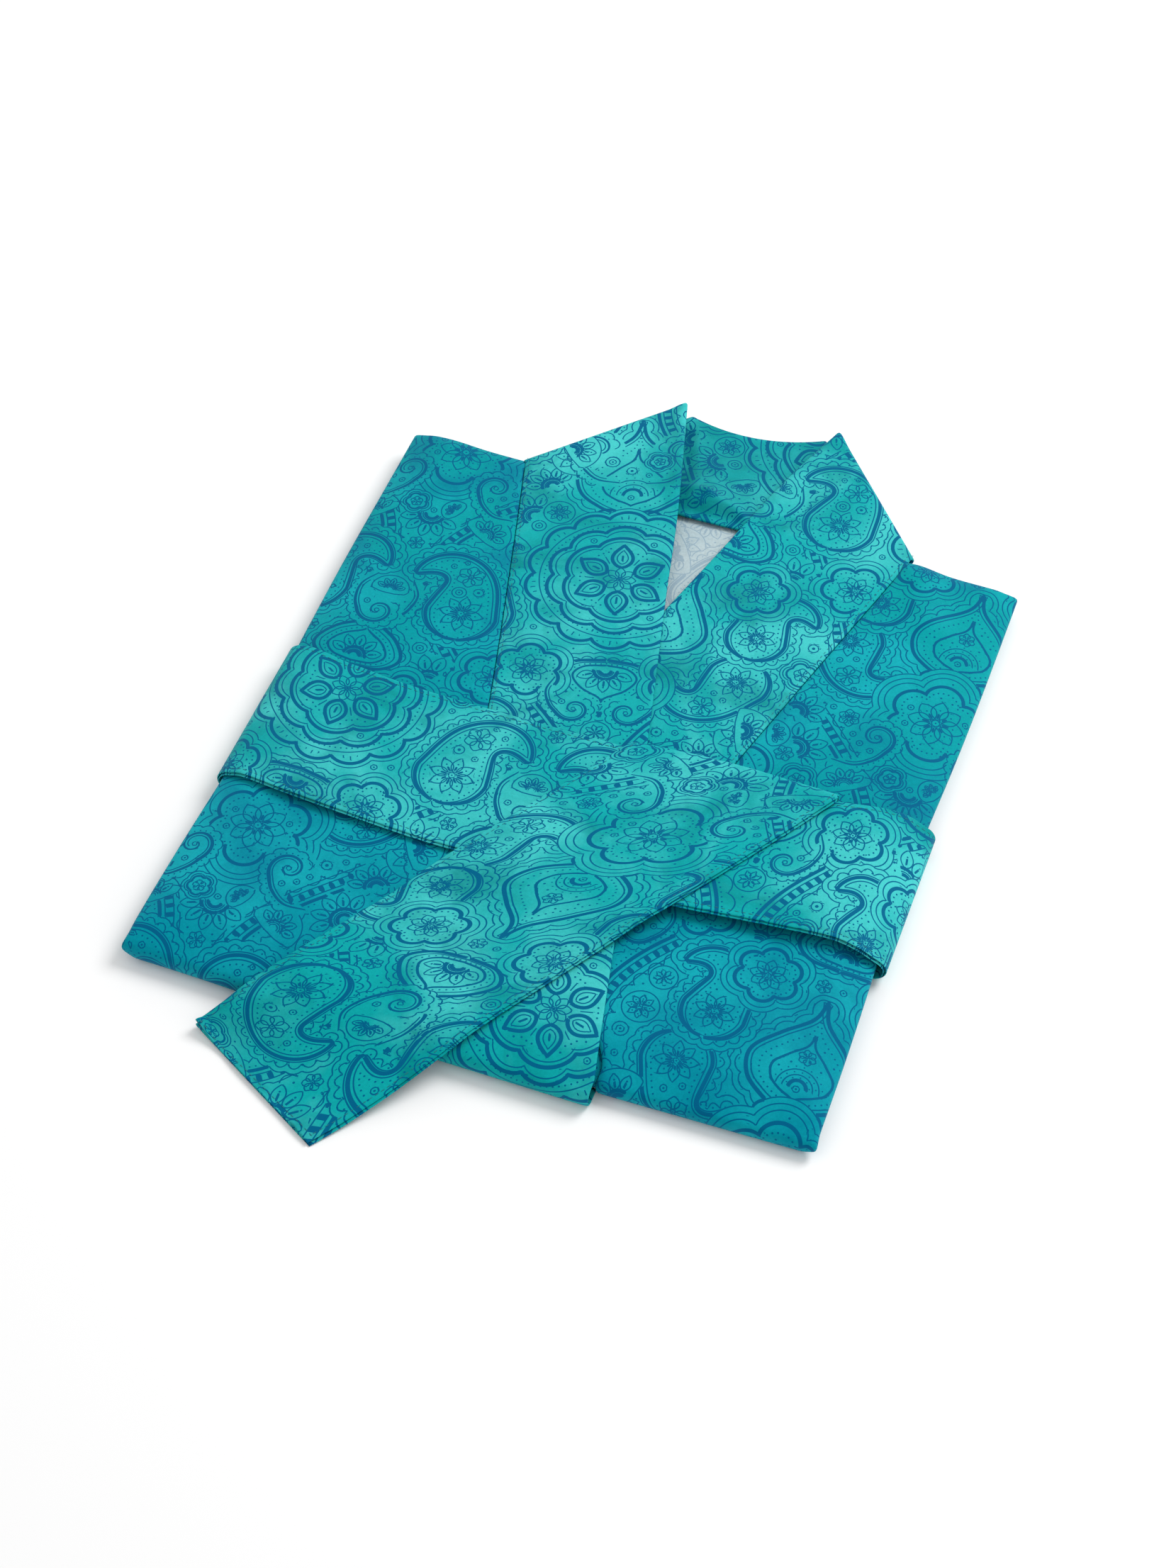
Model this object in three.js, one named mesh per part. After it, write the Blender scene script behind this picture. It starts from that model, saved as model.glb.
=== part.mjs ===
// Kimono robe folded flat into a packet, with its own sash wound round it and one sash end laid over the top.
// Millimetres, +Z up. The packet lies on the XY plane with its middle at the origin: -Y is the folded hem end,
// +Y the shoulders, -X the wearer's right side. The right front laps over the left one.
import * as THREE from "three";

// ---------------------------------------------------------------- driving dimensions

const GAP = 0.3; // between pieces, at seams and in the stack
const PANEL_WALL = 1.2; // front panel
const INSIDE_WALL = 1.0; // back panel seen in the V
const BAND_WALL = 1.5; // neckband, two cloths
const SASH_WALL = 1.5; // sash, two cloths and their turnings
const SKIN = GAP + PANEL_WALL; // the panels' outer face stands this far off the hidden layers

const LOW_LEVEL = 11.5; // top of the hidden layers under the left front
const HIGH_LEVEL = LOW_LEVEL + GAP + BAND_WALL; // and under the right front, which laps over it

// How far the folded packet reaches, to the outer face of its panels.
const REACH = {
  side: 150,
  waistPull: 3, // the sash draws the sides in
  waistY: -28,
  waistSpread: 70,
  shoulder: 160.6,
  shoulderSlant: -0.0203,
  hemRight: 163.2, // at the wearer's right-hand corner
  hemRightBulge: 6, // further out towards the neckband
  hemLeft: 161.2,
  hemLeftSlant: -0.0143,
};
// Each edge falls by `drop`, then turns round a roll that starts at START and ends tucked in below.
const START = 0.314; // radians, the slope at which a fold edge starts to turn
const DROP = { side: 2.8, hem: 4.3, shoulder: 0.8 };
const ROLL = { side: 0.9, shoulder: 0.9 }; // inner radius of the upper fold; the hem's follows its height
const TUCK = { side: 3, hem: 6, shoulder: 3 };
const TURN_SHARE = 0.8; // of a turn's steps, the share that goes round; the rest is tuck
const CORNER = 4.5; // radius of the packet's corners in plan, up to where the turns start
const TURNS = 7; // steps from the flat part to the tuck; the first one crosses the corner's radius

// Neck opening: the hidden layers are lower there. Up to vTopY it follows the V, from wideY the shoulder seams.
const NECK = { depth: 3.6, fromY: 38, toY: 98, vTopY: 118, wideY: 150, margin: 10, ramp: 4, squeeze: 0.25 };
const COLLAR_RISE = { height: 3.2, x: -10, spreadX: 28, y: 168, spreadY: 30 };
const NECK_ROLL = { height: 4.2, x: -8, spread: 22, fromY: 150, topY: 161, fallY: 205 };
const BAND_TURN = { radius: 0.6, lip: 5, share: 0.6 }; // where the band turns over round the neck

// Soft swells of the front panels, each a ridge between two points.
const SWELLS = [
  { x1: 100, y1: 160, x2: 117, y2: 126, width: 10, height: 2.4 },
  { x1: -131, y1: 162, x2: -126, y2: 135, width: 14, height: 1.4 },
  { x1: -92, y1: 66, x2: -132, y2: 22, width: 13, height: 0.8 },
  { x1: 84, y1: -92, x2: 122, y2: -130, width: 14, height: 0.8 },
];

// Edges of the neckband: its free inner edge and the seam that joins it to a front.
const RIGHT_BAND = [
  { y: -170, inner: 60.1, seam: -13 },
  { y: -93, inner: 42.9, seam: -30.4 },
  { y: 9, inner: 21.2, seam: -52.6 },
  { y: 98, inner: -0.3, seam: -75.4 },
  { y: 154, inner: -13.2, seam: -90.4 },
  { y: 224, inner: -32.2, seam: -110 },
];
const LEFT_BAND = [
  { y: -80, inner: -40, seam: 34.4 },
  { y: 13, inner: -19, seam: 58.8 },
  { y: 93, inner: 1.2, seam: 79.6 },
  { y: 155, inner: 18.1, seam: 96 },
  { y: 198, inner: 29.7, seam: 107 },
  { y: 231, inner: 41.2, seam: 116 },
];
// Where each band turns over to go round the neck: from the seam to the peak at its free edge.
const RIGHT_TURN = { rows: RIGHT_BAND, seamY: 160.3, peakY: 223.9 };
const LEFT_TURN = { rows: LEFT_BAND, seamY: 161.2, peakY: 231 };
const LEFT_BAND_END_Y = -62; // hidden under the sash
// How far the left front runs on under the right band, and where the hidden layers step up beside it.
const LAP = { width: 12, fromY: -152, toY: -124, clear: 5, ramp: 8, hemRoom: 2 };
const DIP_START = { from: 3, to: 7 }; // mm left of that step
const BACK_BAND_BOW = { seam: 9, free: 10.5 };

// The sash across the front: the Y of its two edges and the height of its outer face at each.
const SASH = [
  { x: -147, upper: 14.6, lower: -65.2, upperTop: 14.4, lowerTop: 14.2 },
  { x: -138, upper: 13.8, lower: -65.6, upperTop: 16.7, lowerTop: 17.2 },
  { x: -118, upper: 10, lower: -68.6, upperTop: 17, lowerTop: 18.8 },
  { x: -85, upper: 6.8, lower: -71.4, upperTop: 17, lowerTop: 18.8 },
  { x: -48, upper: 5.4, lower: -72.9, upperTop: 17.4, lowerTop: 17.7 },
  { x: 0, upper: 4, lower: -73, upperTop: 18.7, lowerTop: 18.7 },
  { x: 60, upper: 3.6, lower: -70.8, upperTop: 18.9, lowerTop: 18.8 },
  { x: 105, upper: 4.2, lower: -66.8, upperTop: 19, lowerTop: 19 },
  { x: 128, upper: 8.6, lower: -65.1, upperTop: 18.5, lowerTop: 18.8 },
  { x: 139, upper: 9.8, lower: -65.9, upperTop: 16.6, lowerTop: 17.2 },
  { x: 148, upper: 8.8, lower: -66.8, upperTop: 13.4, lowerTop: 13.6 },
];
// Outermost X of the loop on each side, and where its turn starts.
const SASH_SIDE = { right: 151, left: 152.4, start: 0.42 };
const SASH_JOIN_X = 34; // the two stretches meet here, under the free end
const SASH_UNDER_JOIN_X = -20; // and here below the packet

// The free end: it comes up behind the sash, folds over its upper edge and runs down to the table.
// Each row is a station along it: where its two edges are, and the height of the outer face at each.
const TAIL = [
  { along: 0, leftX: 14.4, leftY: 4.2, rightX: 108.9, rightY: 4.4, leftTop: 20.8, rightTop: 21 },
  { along: 0.33, leftX: -34, leftY: -75, rightX: 59.5, rightY: -73, leftTop: 20.7, rightTop: 20.9 },
  { along: 0.4, leftX: -43, leftY: -89.5, rightX: 50.5, rightY: -85, leftTop: 19.4, rightTop: 19.6 },
  { along: 0.48, leftX: -53, leftY: -106, rightX: 37.5, rightY: -105, leftTop: 17.5, rightTop: 17.9 },
  { along: 0.68, leftX: -80, leftY: -148.8, rightX: 6.4, rightY: -155, leftTop: 16.9, rightTop: 16.9 },
  { along: 0.76, leftX: -90.4, leftY: -163.6, rightX: -2.6, rightY: -169, leftTop: 14, rightTop: 13.8 },
  { along: 0.88, leftX: -98.6, leftY: -174.2, rightX: -17, rightY: -189.8, leftTop: 7.6, rightTop: 7.6 },
  { along: 0.95, leftX: -103.6, leftY: -180.3, rightX: -30.4, rightY: -207.4, leftTop: 3.8, rightTop: 3 },
  { along: 1, leftX: -106.7, leftY: -184.2, rightX: -41.2, rightY: -221.6, leftTop: 2.2, rightTop: 1.5 },
];
const TAIL_BOW = 3; // the folded edge of the free end arches up in the middle
const TAIL_LEG = 30; // length tucked behind the sash
const LEG_TOP = HIGH_LEVEL + GAP + BAND_WALL + GAP + SASH_WALL;

// ---------------------------------------------------------------- small helpers

const mix = (a, b, share) => a + (b - a) * share;
const within = (value, low, high) => Math.min(high, Math.max(low, value));

function smooth(from, to, value) {
  const t = within((value - from) / (to - from), 0, 1);
  return t * t * (3 - 2 * t);
}

const hill = (value, middle, spread) => Math.exp(-(((value - middle) / spread) ** 2));

// Reads one column of a table at a place between its rows, on a smooth curve.
function read(rows, key, name, at) {
  let k = 0;
  while (k < rows.length - 2 && at > rows[k + 1][key]) k += 1;
  const slope = (i) => {
    const before = rows[Math.max(0, i - 1)];
    const after = rows[Math.min(rows.length - 1, i + 1)];
    return (after[name] - before[name]) / (after[key] - before[key]);
  };
  const a = rows[k];
  const b = rows[k + 1];
  const span = b[key] - a[key];
  const t = (at - a[key]) / span;
  if (t < 0) return a[name] + slope(k) * (at - a[key]);
  if (t > 1) return b[name] + slope(k + 1) * (at - b[key]);
  const bend = t * t * (3 - 2 * t);
  return (
    mix(a[name], b[name], bend) +
    slope(k) * span * t * (1 - t) ** 2 -
    slope(k + 1) * span * t * t * (1 - t)
  );
}

const steps = (count) => Array.from({ length: count + 1 }, (_, i) => i / count);

// ---------------------------------------------------------------- the packet's surface

const neckbandEdge = (y) => read(RIGHT_BAND, "y", "inner", y);
const seamAt = (rows, y) => read(rows, "y", "seam", y);
const lapWidth = (y) => LAP.width * smooth(LAP.fromY, LAP.toY, y);
const wideness = (y) => smooth(NECK.vTopY, NECK.wideY, y);
const squeeze = (y) => mix(1, NECK.squeeze, wideness(y));

// Where the hidden layers step down beside the right front, and where the neck opening ends on the left.
function stepX(y) {
  const besideBand = neckbandEdge(y) - lapWidth(y) - LAP.clear;
  return mix(besideBand, seamAt(RIGHT_BAND, y) + 2 * GAP, wideness(y));
}

function dipEndX(y) {
  const inV = read(LEFT_BAND, "y", "inner", y) + NECK.margin;
  const besideStep = stepX(y) + 2 * DIP_START.to;
  return Math.max(mix(inV, seamAt(LEFT_BAND, y) - 3, wideness(y)), besideStep);
}

// 1 under the right front, 0 left of the step.
const lapLevel = (x, y) => smooth(0, LAP.ramp * squeeze(y), stepX(y) - x);

function neckDip(x, y) {
  const depth = NECK.depth * smooth(NECK.fromY, NECK.toY, y);
  const starts = smooth(DIP_START.from * squeeze(y), DIP_START.to * squeeze(y), x - stepX(y));
  const ends = smooth(0, NECK.ramp, dipEndX(y) + NECK.ramp - x);
  return depth * starts * ends;
}

function swellAt(x, y) {
  const sum = SWELLS.reduce((total, ridge) => {
    const dx = ridge.x2 - ridge.x1;
    const dy = ridge.y2 - ridge.y1;
    const share = within(((x - ridge.x1) * dx + (y - ridge.y1) * dy) / (dx * dx + dy * dy), 0, 1);
    const away = Math.hypot(x - ridge.x1 - share * dx, y - ridge.y1 - share * dy);
    return total + ridge.height * hill(away, 0, ridge.width);
  }, 0);
  return sum * smooth(-158, -135, y);
}

// The grounds that pieces lie on. `level` is 0 to 1 between the low and the high level; `dips` is 1 where the
// ground follows the neck opening, `swells` 1 where the cloth swells, and an `open` one runs on past the shoulder.
const low = () => 0;
const high = () => 1;
const CORE = { level: lapLevel, dips: 1, swells: 0, open: false, deeper: 2 * GAP };
const UNDER_LEFT = { level: low, dips: 0, swells: 1, open: false, deeper: 0 };
const UNDER_RIGHT = { level: high, dips: 0, swells: 1, open: false, deeper: 0 };
const UNDER_LEFT_BAND = { level: low, dips: 0, swells: 0, open: true, deeper: 0 };
const UNDER_RIGHT_BAND = { level: high, dips: 0, swells: 0, open: true, deeper: 0 };
const UNDER_INSIDE = { level: low, dips: 1, swells: 0, open: false, deeper: 0 };

const turnRadius = (height) => (height - SKIN) / (1 + Math.cos(START));
const hemRadius = (level) => turnRadius(mix(LOW_LEVEL, HIGH_LEVEL, level) - DROP.hem);
// The straight part of the packet ends here, and the turn begins.
const innerOf = (reach, radius) => reach - radius - SKIN + radius * Math.sin(START);

function sideInner(y) {
  const reach = REACH.side - REACH.waistPull * hill(y, REACH.waistY, REACH.waistSpread);
  return innerOf(reach, ROLL.side);
}

const shoulderInner = (x) => innerOf(REACH.shoulder + REACH.shoulderSlant * x, ROLL.shoulder);

function hemInner(x, level) {
  const right = REACH.hemRight + REACH.hemRightBulge * smooth(-REACH.side, 25, x);
  const left = REACH.hemLeft + REACH.hemLeftSlant * (x - 66);
  return innerOf(mix(left, right, level), hemRadius(level));
}

// Height of a ground, before any cloth is laid on it.
function groundHeight(ground, x, y) {
  const level = ground.level(x, y);
  const fall = (drop, inside) => drop * within(1 - (inside * Math.tan(START)) / (2 * drop), 0, 1) ** 2;
  const falls = [fall(DROP.hem, hemInner(x, level) + y)];
  if (!ground.open) {
    falls.push(fall(DROP.side, sideInner(y) - Math.abs(x)));
    falls.push(fall(DROP.shoulder, shoulderInner(x) - y));
  }
  const drop = falls.reduce((sum, each) => sum + each ** 4, 0) ** 0.25;
  const shape = ground.swells * swellAt(x, y) - ground.dips * neckDip(x, y);
  return mix(LOW_LEVEL, HIGH_LEVEL, level) - drop + shape;
}

// One step of a turn: how far out and how far up from the start, at `off` from the ground's surface.
function turned(radius, tuck, share, off) {
  const round = within(share / TURN_SHARE, 0, 1);
  const angle = mix(START, Math.PI, round);
  const tucked = Math.max(0, share - TURN_SHARE) / (1 - TURN_SHARE);
  return {
    out: (radius + off) * Math.sin(angle) - radius * Math.sin(START) - tuck * tucked,
    up: (radius + off) * Math.cos(angle) - radius * Math.cos(START),
  };
}

// turnX and turnY, -1 to 1, go on past a side or an end: first to the rim, where the turn starts, then round it.
// At a corner they swing from one to the other, on a circle round the point (x, y).
function rimOf(x, y, turnX, turnY) {
  const [overX, overY] = [Math.abs(turnX), Math.abs(turnY)];
  const share = Math.max(overX, overY);
  const swing =
    overX >= overY ? (Math.PI / 4) * (overY / (overX || 1)) : Math.PI / 2 - (Math.PI / 4) * (overX / overY);
  const beyond = CORNER * Math.min(1, share * TURNS);
  const toX = Math.sign(x) * Math.cos(swing);
  const toY = Math.sign(y) * Math.sin(swing);
  const round = Math.max(0, share * TURNS - 1) / (TURNS - 1);
  const endShare = Math.sin(swing) ** 2; // 0 at a side, 1 at the hem or the shoulder
  return { x: x + toX * beyond, y: y + toY * beyond, toX, toY, round, endShare };
}

// Near the corners the hem has no tuck.
const hemTuck = (x, y) => TUCK.hem * smooth(0, 3 * CORNER, sideInner(y) - CORNER - Math.abs(x));

// A point `off` above a ground, or round its edges where turnX or turnY says so.
function lie(ground, x, y, turnX, turnY, off) {
  const rim = rimOf(x, y, turnX, turnY);
  const base = groundHeight(ground, rim.x, rim.y);
  if (rim.round === 0) {
    const step = 0.5;
    const heightAt = (dx, dy) => groundHeight(ground, rim.x + dx, rim.y + dy);
    const slopeX = (heightAt(step, 0) - heightAt(-step, 0)) / (2 * step);
    const slopeY = (heightAt(0, step) - heightAt(0, -step)) / (2 * step);
    const normal = new THREE.Vector3(-slopeX, -slopeY, 1).normalize();
    return new THREE.Vector3(rim.x, rim.y, base).addScaledVector(normal, off);
  }
  const atHem = y < 0;
  const lift = (ground.swells * swellAt(rim.x, rim.y)) / (1 + Math.cos(START));
  const endRadius = atHem ? turnRadius(base) : ROLL.shoulder + lift;
  const endTuck = atHem ? hemTuck(x, y) : TUCK.shoulder;
  const side = turned(ROLL.side + lift, TUCK.side + ground.deeper, rim.round, off);
  const end = turned(endRadius, endTuck + ground.deeper, rim.round, off);
  const out = mix(side.out, end.out, rim.endShare);
  const up = mix(side.up, end.up, rim.endShare);
  return new THREE.Vector3(rim.x + rim.toX * out, rim.y + rim.toY * out, base + up);
}

// ---------------------------------------------------------------- meshes

function geometryOf(points, triangles) {
  const corners = triangles.map((t) => t.map((i) => points[i]));
  const volume = corners.reduce((sum, [a, b, c]) => sum + a.dot(new THREE.Vector3().crossVectors(b, c)), 0);
  const outward = volume > 0 ? triangles : triangles.map(([a, b, c]) => [a, c, b]);
  const geometry = new THREE.BufferGeometry();
  geometry.setAttribute(
    "position",
    new THREE.Float32BufferAttribute(points.flatMap((p) => [p.x, p.y, p.z]), 3),
  );
  geometry.setIndex(outward.flat());
  geometry.computeVertexNormals();
  return geometry;
}

// Two triangles for each cell of a grid of vertex numbers.
function cells(grid, flipped) {
  const triangles = [];
  for (let i = 0; i + 1 < grid.length; i += 1)
    for (let j = 0; j + 1 < grid[i].length; j += 1) {
      const [a, b, c, d] = [grid[i][j], grid[i + 1][j], grid[i + 1][j + 1], grid[i][j + 1]];
      triangles.push(...(flipped ? [[a, c, b], [a, d, c]] : [[a, b, c], [a, c, d]]));
    }
  return triangles;
}

// A wall of cloth: pointAt(row, column, off) gives its inner face at off 0 and its outer face at off `wall`.
function clothWall(rows, columns, wall, pointAt) {
  const points = [];
  const face = (off) =>
    rows.map((row) => columns.map((column) => points.push(pointAt(row, column, off)) - 1));
  const inner = face(0);
  const outer = face(wall);
  const last = inner.length - 1;
  const rim = [
    [inner[0], outer[0]],
    [outer[last], inner[last]],
    [outer.map((row) => row[0]), inner.map((row) => row[0])],
    [inner.map((row) => row.at(-1)), outer.map((row) => row.at(-1))],
  ];
  return geometryOf(points, [
    ...cells(outer, false),
    ...cells(inner, true),
    ...rim.flatMap((strip) => cells(strip, false)),
  ]);
}

// A solid between an upper and a lower sheet whose outer rows and columns are the same points.
function closedSheets(rows, columns, upperAt, lowerAt) {
  const points = [];
  const upper = rows.map((row) => columns.map((column) => points.push(upperAt(row, column)) - 1));
  const lower = rows.map((row, i) =>
    columns.map((column, j) => {
      const onRim = i === 0 || j === 0 || i === rows.length - 1 || j === columns.length - 1;
      return onRim ? upper[i][j] : points.push(lowerAt(row, column)) - 1;
    }),
  );
  return geometryOf(points, [...cells(upper, false), ...cells(lower, true)]);
}

// Rows or columns of a panel: straight ones (at 0 to 1), and the turns before and after them.
function stations(straight, turnsBefore, turnsAfter) {
  const before = steps(turnsBefore).slice(1).reverse().map((turn) => ({ at: 0, turn: -turn }));
  const after = steps(turnsAfter).slice(1).map((turn) => ({ at: 1, turn }));
  return [
    ...(turnsBefore ? before : []),
    ...straight.map((at) => ({ at, turn: 0 })),
    ...(turnsAfter ? after : []),
  ];
}

// ---------------------------------------------------------------- hidden layers

const SLACK = 0.4; // the hidden layers lie this much lower than the panels allow
const SIDE_STATIONS = [CORNER, 9, 13.5, 18.5]; // mm in from a side fold, where the cloth curves most
const ENDS = { hem: [0, 0.022, 0.044, 0.066, 0.09], shoulder: [0.975, 1] }; // the same along the length

// From the groove that holds the panels' tuck down to the underside: a lobe for each hidden fold.
// `out` is mm beyond the start of the turn, `up` the share of the height from the floor to the groove.
const LOBES = [
  { out: -TUCK.side - 2 * GAP, up: 1 },
  { out: 0.3, up: 0.8 },
  { out: -1.4, up: 0.5 },
  { out: -0.2, up: 0.28 },
  { out: -2.2, up: 0.06 },
  { out: -3, up: 0 },
];
// The sash lies in a shallow bed across the underside.
const BED = { from: 0.245, to: 0.562, lip: 0.006, depth: SASH_WALL + GAP };
const UNDERSIDE_INSET = { side: 7.5, hem: 15, shoulder: 7.5 };
const NO_INSET = { side: CORNER, hem: CORNER, shoulder: CORNER };

// Back, sleeves, sides and the fronts' folded-under parts in one rounded solid, layered at its edges.
function foldedLayers() {
  const beforeNeck = [0.15, 0.21, BED.from, BED.from + BED.lip, 0.35, 0.42, 0.49, BED.to - BED.lip, BED.to];
  const atNeck = [0.61, 0.65, 0.69, 0.73, 0.77, 0.81, 0.86, 0.9, 0.94];
  const alongRows = [...ENDS.hem, ...beforeNeck, ...atNeck, ...ENDS.shoulder];
  const thirds = [1 / 3, 2 / 3];
  const besideStep = [-2 * LAP.ramp, -LAP.ramp, -LAP.ramp / 2, 0, DIP_START.from, DIP_START.to];
  const besideDip = [0, NECK.ramp, 1.6 * NECK.ramp];
  const columnsAcross = [
    ...SIDE_STATIONS.map((mm) => ({ kind: "right side", mm })),
    ...thirds.map((share) => ({ kind: "right", share })),
    ...besideStep.map((mm) => ({ kind: "step", mm })),
    ...thirds.map((share) => ({ kind: "neck", share })),
    ...besideDip.map((mm) => ({ kind: "dip end", mm })),
    ...thirds.map((share) => ({ kind: "left", share })),
    ...SIDE_STATIONS.toReversed().map((mm) => ({ kind: "left side", mm })),
  ];
  const acrossAt = ({ kind, mm, share }, y, inset) => {
    const side = sideInner(y) - inset.side + CORNER;
    const flatSide = side - SIDE_STATIONS.at(-1);
    const stepAt = (beside) => stepX(y) + beside * squeeze(y);
    if (kind === "right side") return mm - side;
    if (kind === "right") return mix(-flatSide, stepAt(besideStep[0]), share);
    if (kind === "step") return stepAt(mm);
    if (kind === "neck") return mix(stepAt(DIP_START.to), dipEndX(y), share);
    if (kind === "dip end") return dipEndX(y) + mm;
    if (kind === "left") return mix(dipEndX(y) + besideDip.at(-1), flatSide, share);
    return side - mm;
  };
  const place = (row, column, inset) => {
    const guessX = acrossAt(column, mix(-REACH.hemLeft, REACH.shoulder, row.at), inset);
    const hem = hemInner(guessX, lapLevel(guessX, -REACH.hemLeft)) - inset.hem;
    const y = mix(-hem, shoulderInner(guessX) - inset.shoulder, row.at);
    return { x: acrossAt(column, y, inset), y };
  };
  const upperAt = (row, column) => {
    const { x, y } = place(row, column, NO_INSET);
    return lie(CORE, x, y, column.turn, row.turn, -SLACK);
  };
  const lowerAt = (row, column) => {
    const floor = row.at > BED.from && row.at < BED.to ? BED.depth : 0;
    const ring = Math.round(Math.max(Math.abs(column.turn), Math.abs(row.turn)) * TURNS);
    if (ring === 0) {
      const { x, y } = place(row, column, UNDERSIDE_INSET);
      return new THREE.Vector3(x, y, floor);
    }
    const { x, y } = place(row, column, NO_INSET);
    const rim = rimOf(x, y, column.turn, row.turn);
    const lobe = LOBES[TURNS - 1 - ring];
    const inward = (TURNS - ring) / TURNS;
    const base = groundHeight(CORE, rim.x, rim.y);
    const groove = base - ROLL.side * (1 + Math.cos(START)) - SKIN - GAP - SLACK;
    const toHem = 1 - smooth(0, SIDE_STATIONS.at(-1), hemInner(x, CORE.level(x, y)) - CORNER + y);
    const lobeOut = mix(lobe.out, LOBES[0].out - 0.5 * inward, toHem);
    const side = { out: lobeOut - ROLL.side * Math.sin(START), up: mix(floor, groove, lobe.up) };
    const hemOut = -hemTuck(x, y) - 2 * GAP - 2 * inward - turnRadius(base) * Math.sin(START);
    const end = y < 0 ? { out: hemOut, up: SKIN * (1 - inward) } : side;
    const out = mix(side.out, end.out, rim.endShare);
    const z = mix(side.up, end.up, rim.endShare);
    return new THREE.Vector3(rim.x + rim.toX * out, rim.y + rim.toY * out, z);
  };
  const turns = steps(TURNS).slice(1);
  const columns = [
    ...turns.toReversed().map((turn) => ({ ...columnsAcross[0], turn: -turn })),
    ...columnsAcross.map((column) => ({ ...column, turn: 0 })),
    ...turns.map((turn) => ({ ...columnsAcross.at(-1), turn })),
  ];
  return closedSheets(stations(alongRows, TURNS, TURNS), columns, upperAt, lowerAt);
}

// ---------------------------------------------------------------- fronts

// A front panel from its inner edge, edgeAt(y), to the side fold, turned round the hem and the shoulder.
function frontPanel({ ground, sideSign, edgeAt, level, middleColumns }) {
  const alongRows = [...ENDS.hem, 0.16, 0.25, 0.35, 0.45, 0.55, 0.66, 0.77, 0.87, 0.94, ...ENDS.shoulder];
  const widthColumns = [
    ...steps(middleColumns).slice(0, -1).map((share) => ({ share, turn: 0 })),
    ...SIDE_STATIONS.toReversed().map((mm) => ({ mm, turn: 0 })),
    ...steps(TURNS).slice(1).map((turn) => ({ mm: CORNER, turn })),
  ];
  const acrossAt = (column, y) => {
    const side = sideInner(y);
    if (column.mm !== undefined) return sideSign * (side - column.mm);
    return mix(edgeAt(y), sideSign * (side - SIDE_STATIONS.at(-1)), column.share);
  };
  return clothWall(stations(alongRows, TURNS, TURNS), widthColumns, PANEL_WALL, (row, column, off) => {
    const guessX = acrossAt(column, mix(-REACH.hemLeft, REACH.shoulder, row.at));
    const y = mix(CORNER - hemInner(guessX, level), shoulderInner(guessX) - CORNER, row.at);
    return lie(ground, acrossAt(column, y), y, column.turn, row.turn, GAP + off);
  });
}

// Where the left front and its band stop, a little way under the right band.
const lapEdge = (y) => neckbandEdge(y) - lapWidth(y) + LAP.hemRoom * (1 - smooth(LAP.fromY, LAP.toY, y));
// At the shoulder the fronts make room for the band's turn.
const turnRoom = (y) => GAP + 3.9 * smooth(144, 154, y);
const frontRightEdge = (y) => seamAt(RIGHT_BAND, y) - turnRoom(y);
const frontLeftEdge = (y) => Math.max(seamAt(LEFT_BAND, y) + turnRoom(y), lapEdge(y));

// ---------------------------------------------------------------- neckband

function collarRise(x, y) {
  const nearX = hill(x, COLLAR_RISE.x, COLLAR_RISE.spreadX);
  const nearY = hill(y, COLLAR_RISE.y, COLLAR_RISE.spreadY);
  return COLLAR_RISE.height * nearX * nearY;
}

const peakOf = (turn) => new THREE.Vector2(read(turn.rows, "y", "inner", turn.peakY), turn.peakY);
const turnEndOf = (turn) => new THREE.Vector2(seamAt(turn.rows, turn.seamY), turn.seamY);

// The level direction away from a band, square to the line where it turns over.
function turnOutward(turn) {
  const line = peakOf(turn).sub(turnEndOf(turn));
  const outward = new THREE.Vector2(-line.y, line.x).normalize();
  return outward.y > 0 ? outward : outward.negate();
}

// A neckband on a front: from startAt(x) up to the line where it turns over to go round the neck.
function frontBand({ ground, innerAt, turn, startAt, hemTurns, straight }) {
  const NECK_TURNS = 7;
  const COLUMNS = 6;
  const outward = turnOutward(turn);
  const hemThinning = PANEL_WALL / BAND_WALL; // the seam allowances end above the hem's turn
  const seam = (y) => seamAt(turn.rows, y);
  return clothWall(stations(straight, hemTurns, NECK_TURNS), steps(COLUMNS), BAND_WALL, (row, column, off) => {
    const innerY = mix(startAt(innerAt(-REACH.hemLeft)), turn.peakY, row.at);
    const seamY = mix(startAt(seam(-REACH.hemLeft)), turn.seamY, row.at);
    const x = mix(innerAt(innerY), seam(seamY), column);
    const y = mix(innerY, seamY, column);
    const thickness = off * mix(hemThinning, 1, smooth(-150, -120, y));
    const point = lie(ground, x, y, 0, Math.min(0, row.turn), GAP + thickness);
    point.z += collarRise(x, y);
    if (row.turn <= 0) return point;
    const angle = Math.PI * Math.min(1, row.turn / BAND_TURN.share);
    const lip = (BAND_TURN.lip * Math.max(0, row.turn - BAND_TURN.share)) / (1 - BAND_TURN.share);
    const out = (BAND_TURN.radius + off) * Math.sin(angle) - lip;
    point.x += outward.x * out;
    point.y += outward.y * out;
    point.z += (BAND_TURN.radius + off) * (Math.cos(angle) - 1);
    return point;
  });
}

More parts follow.
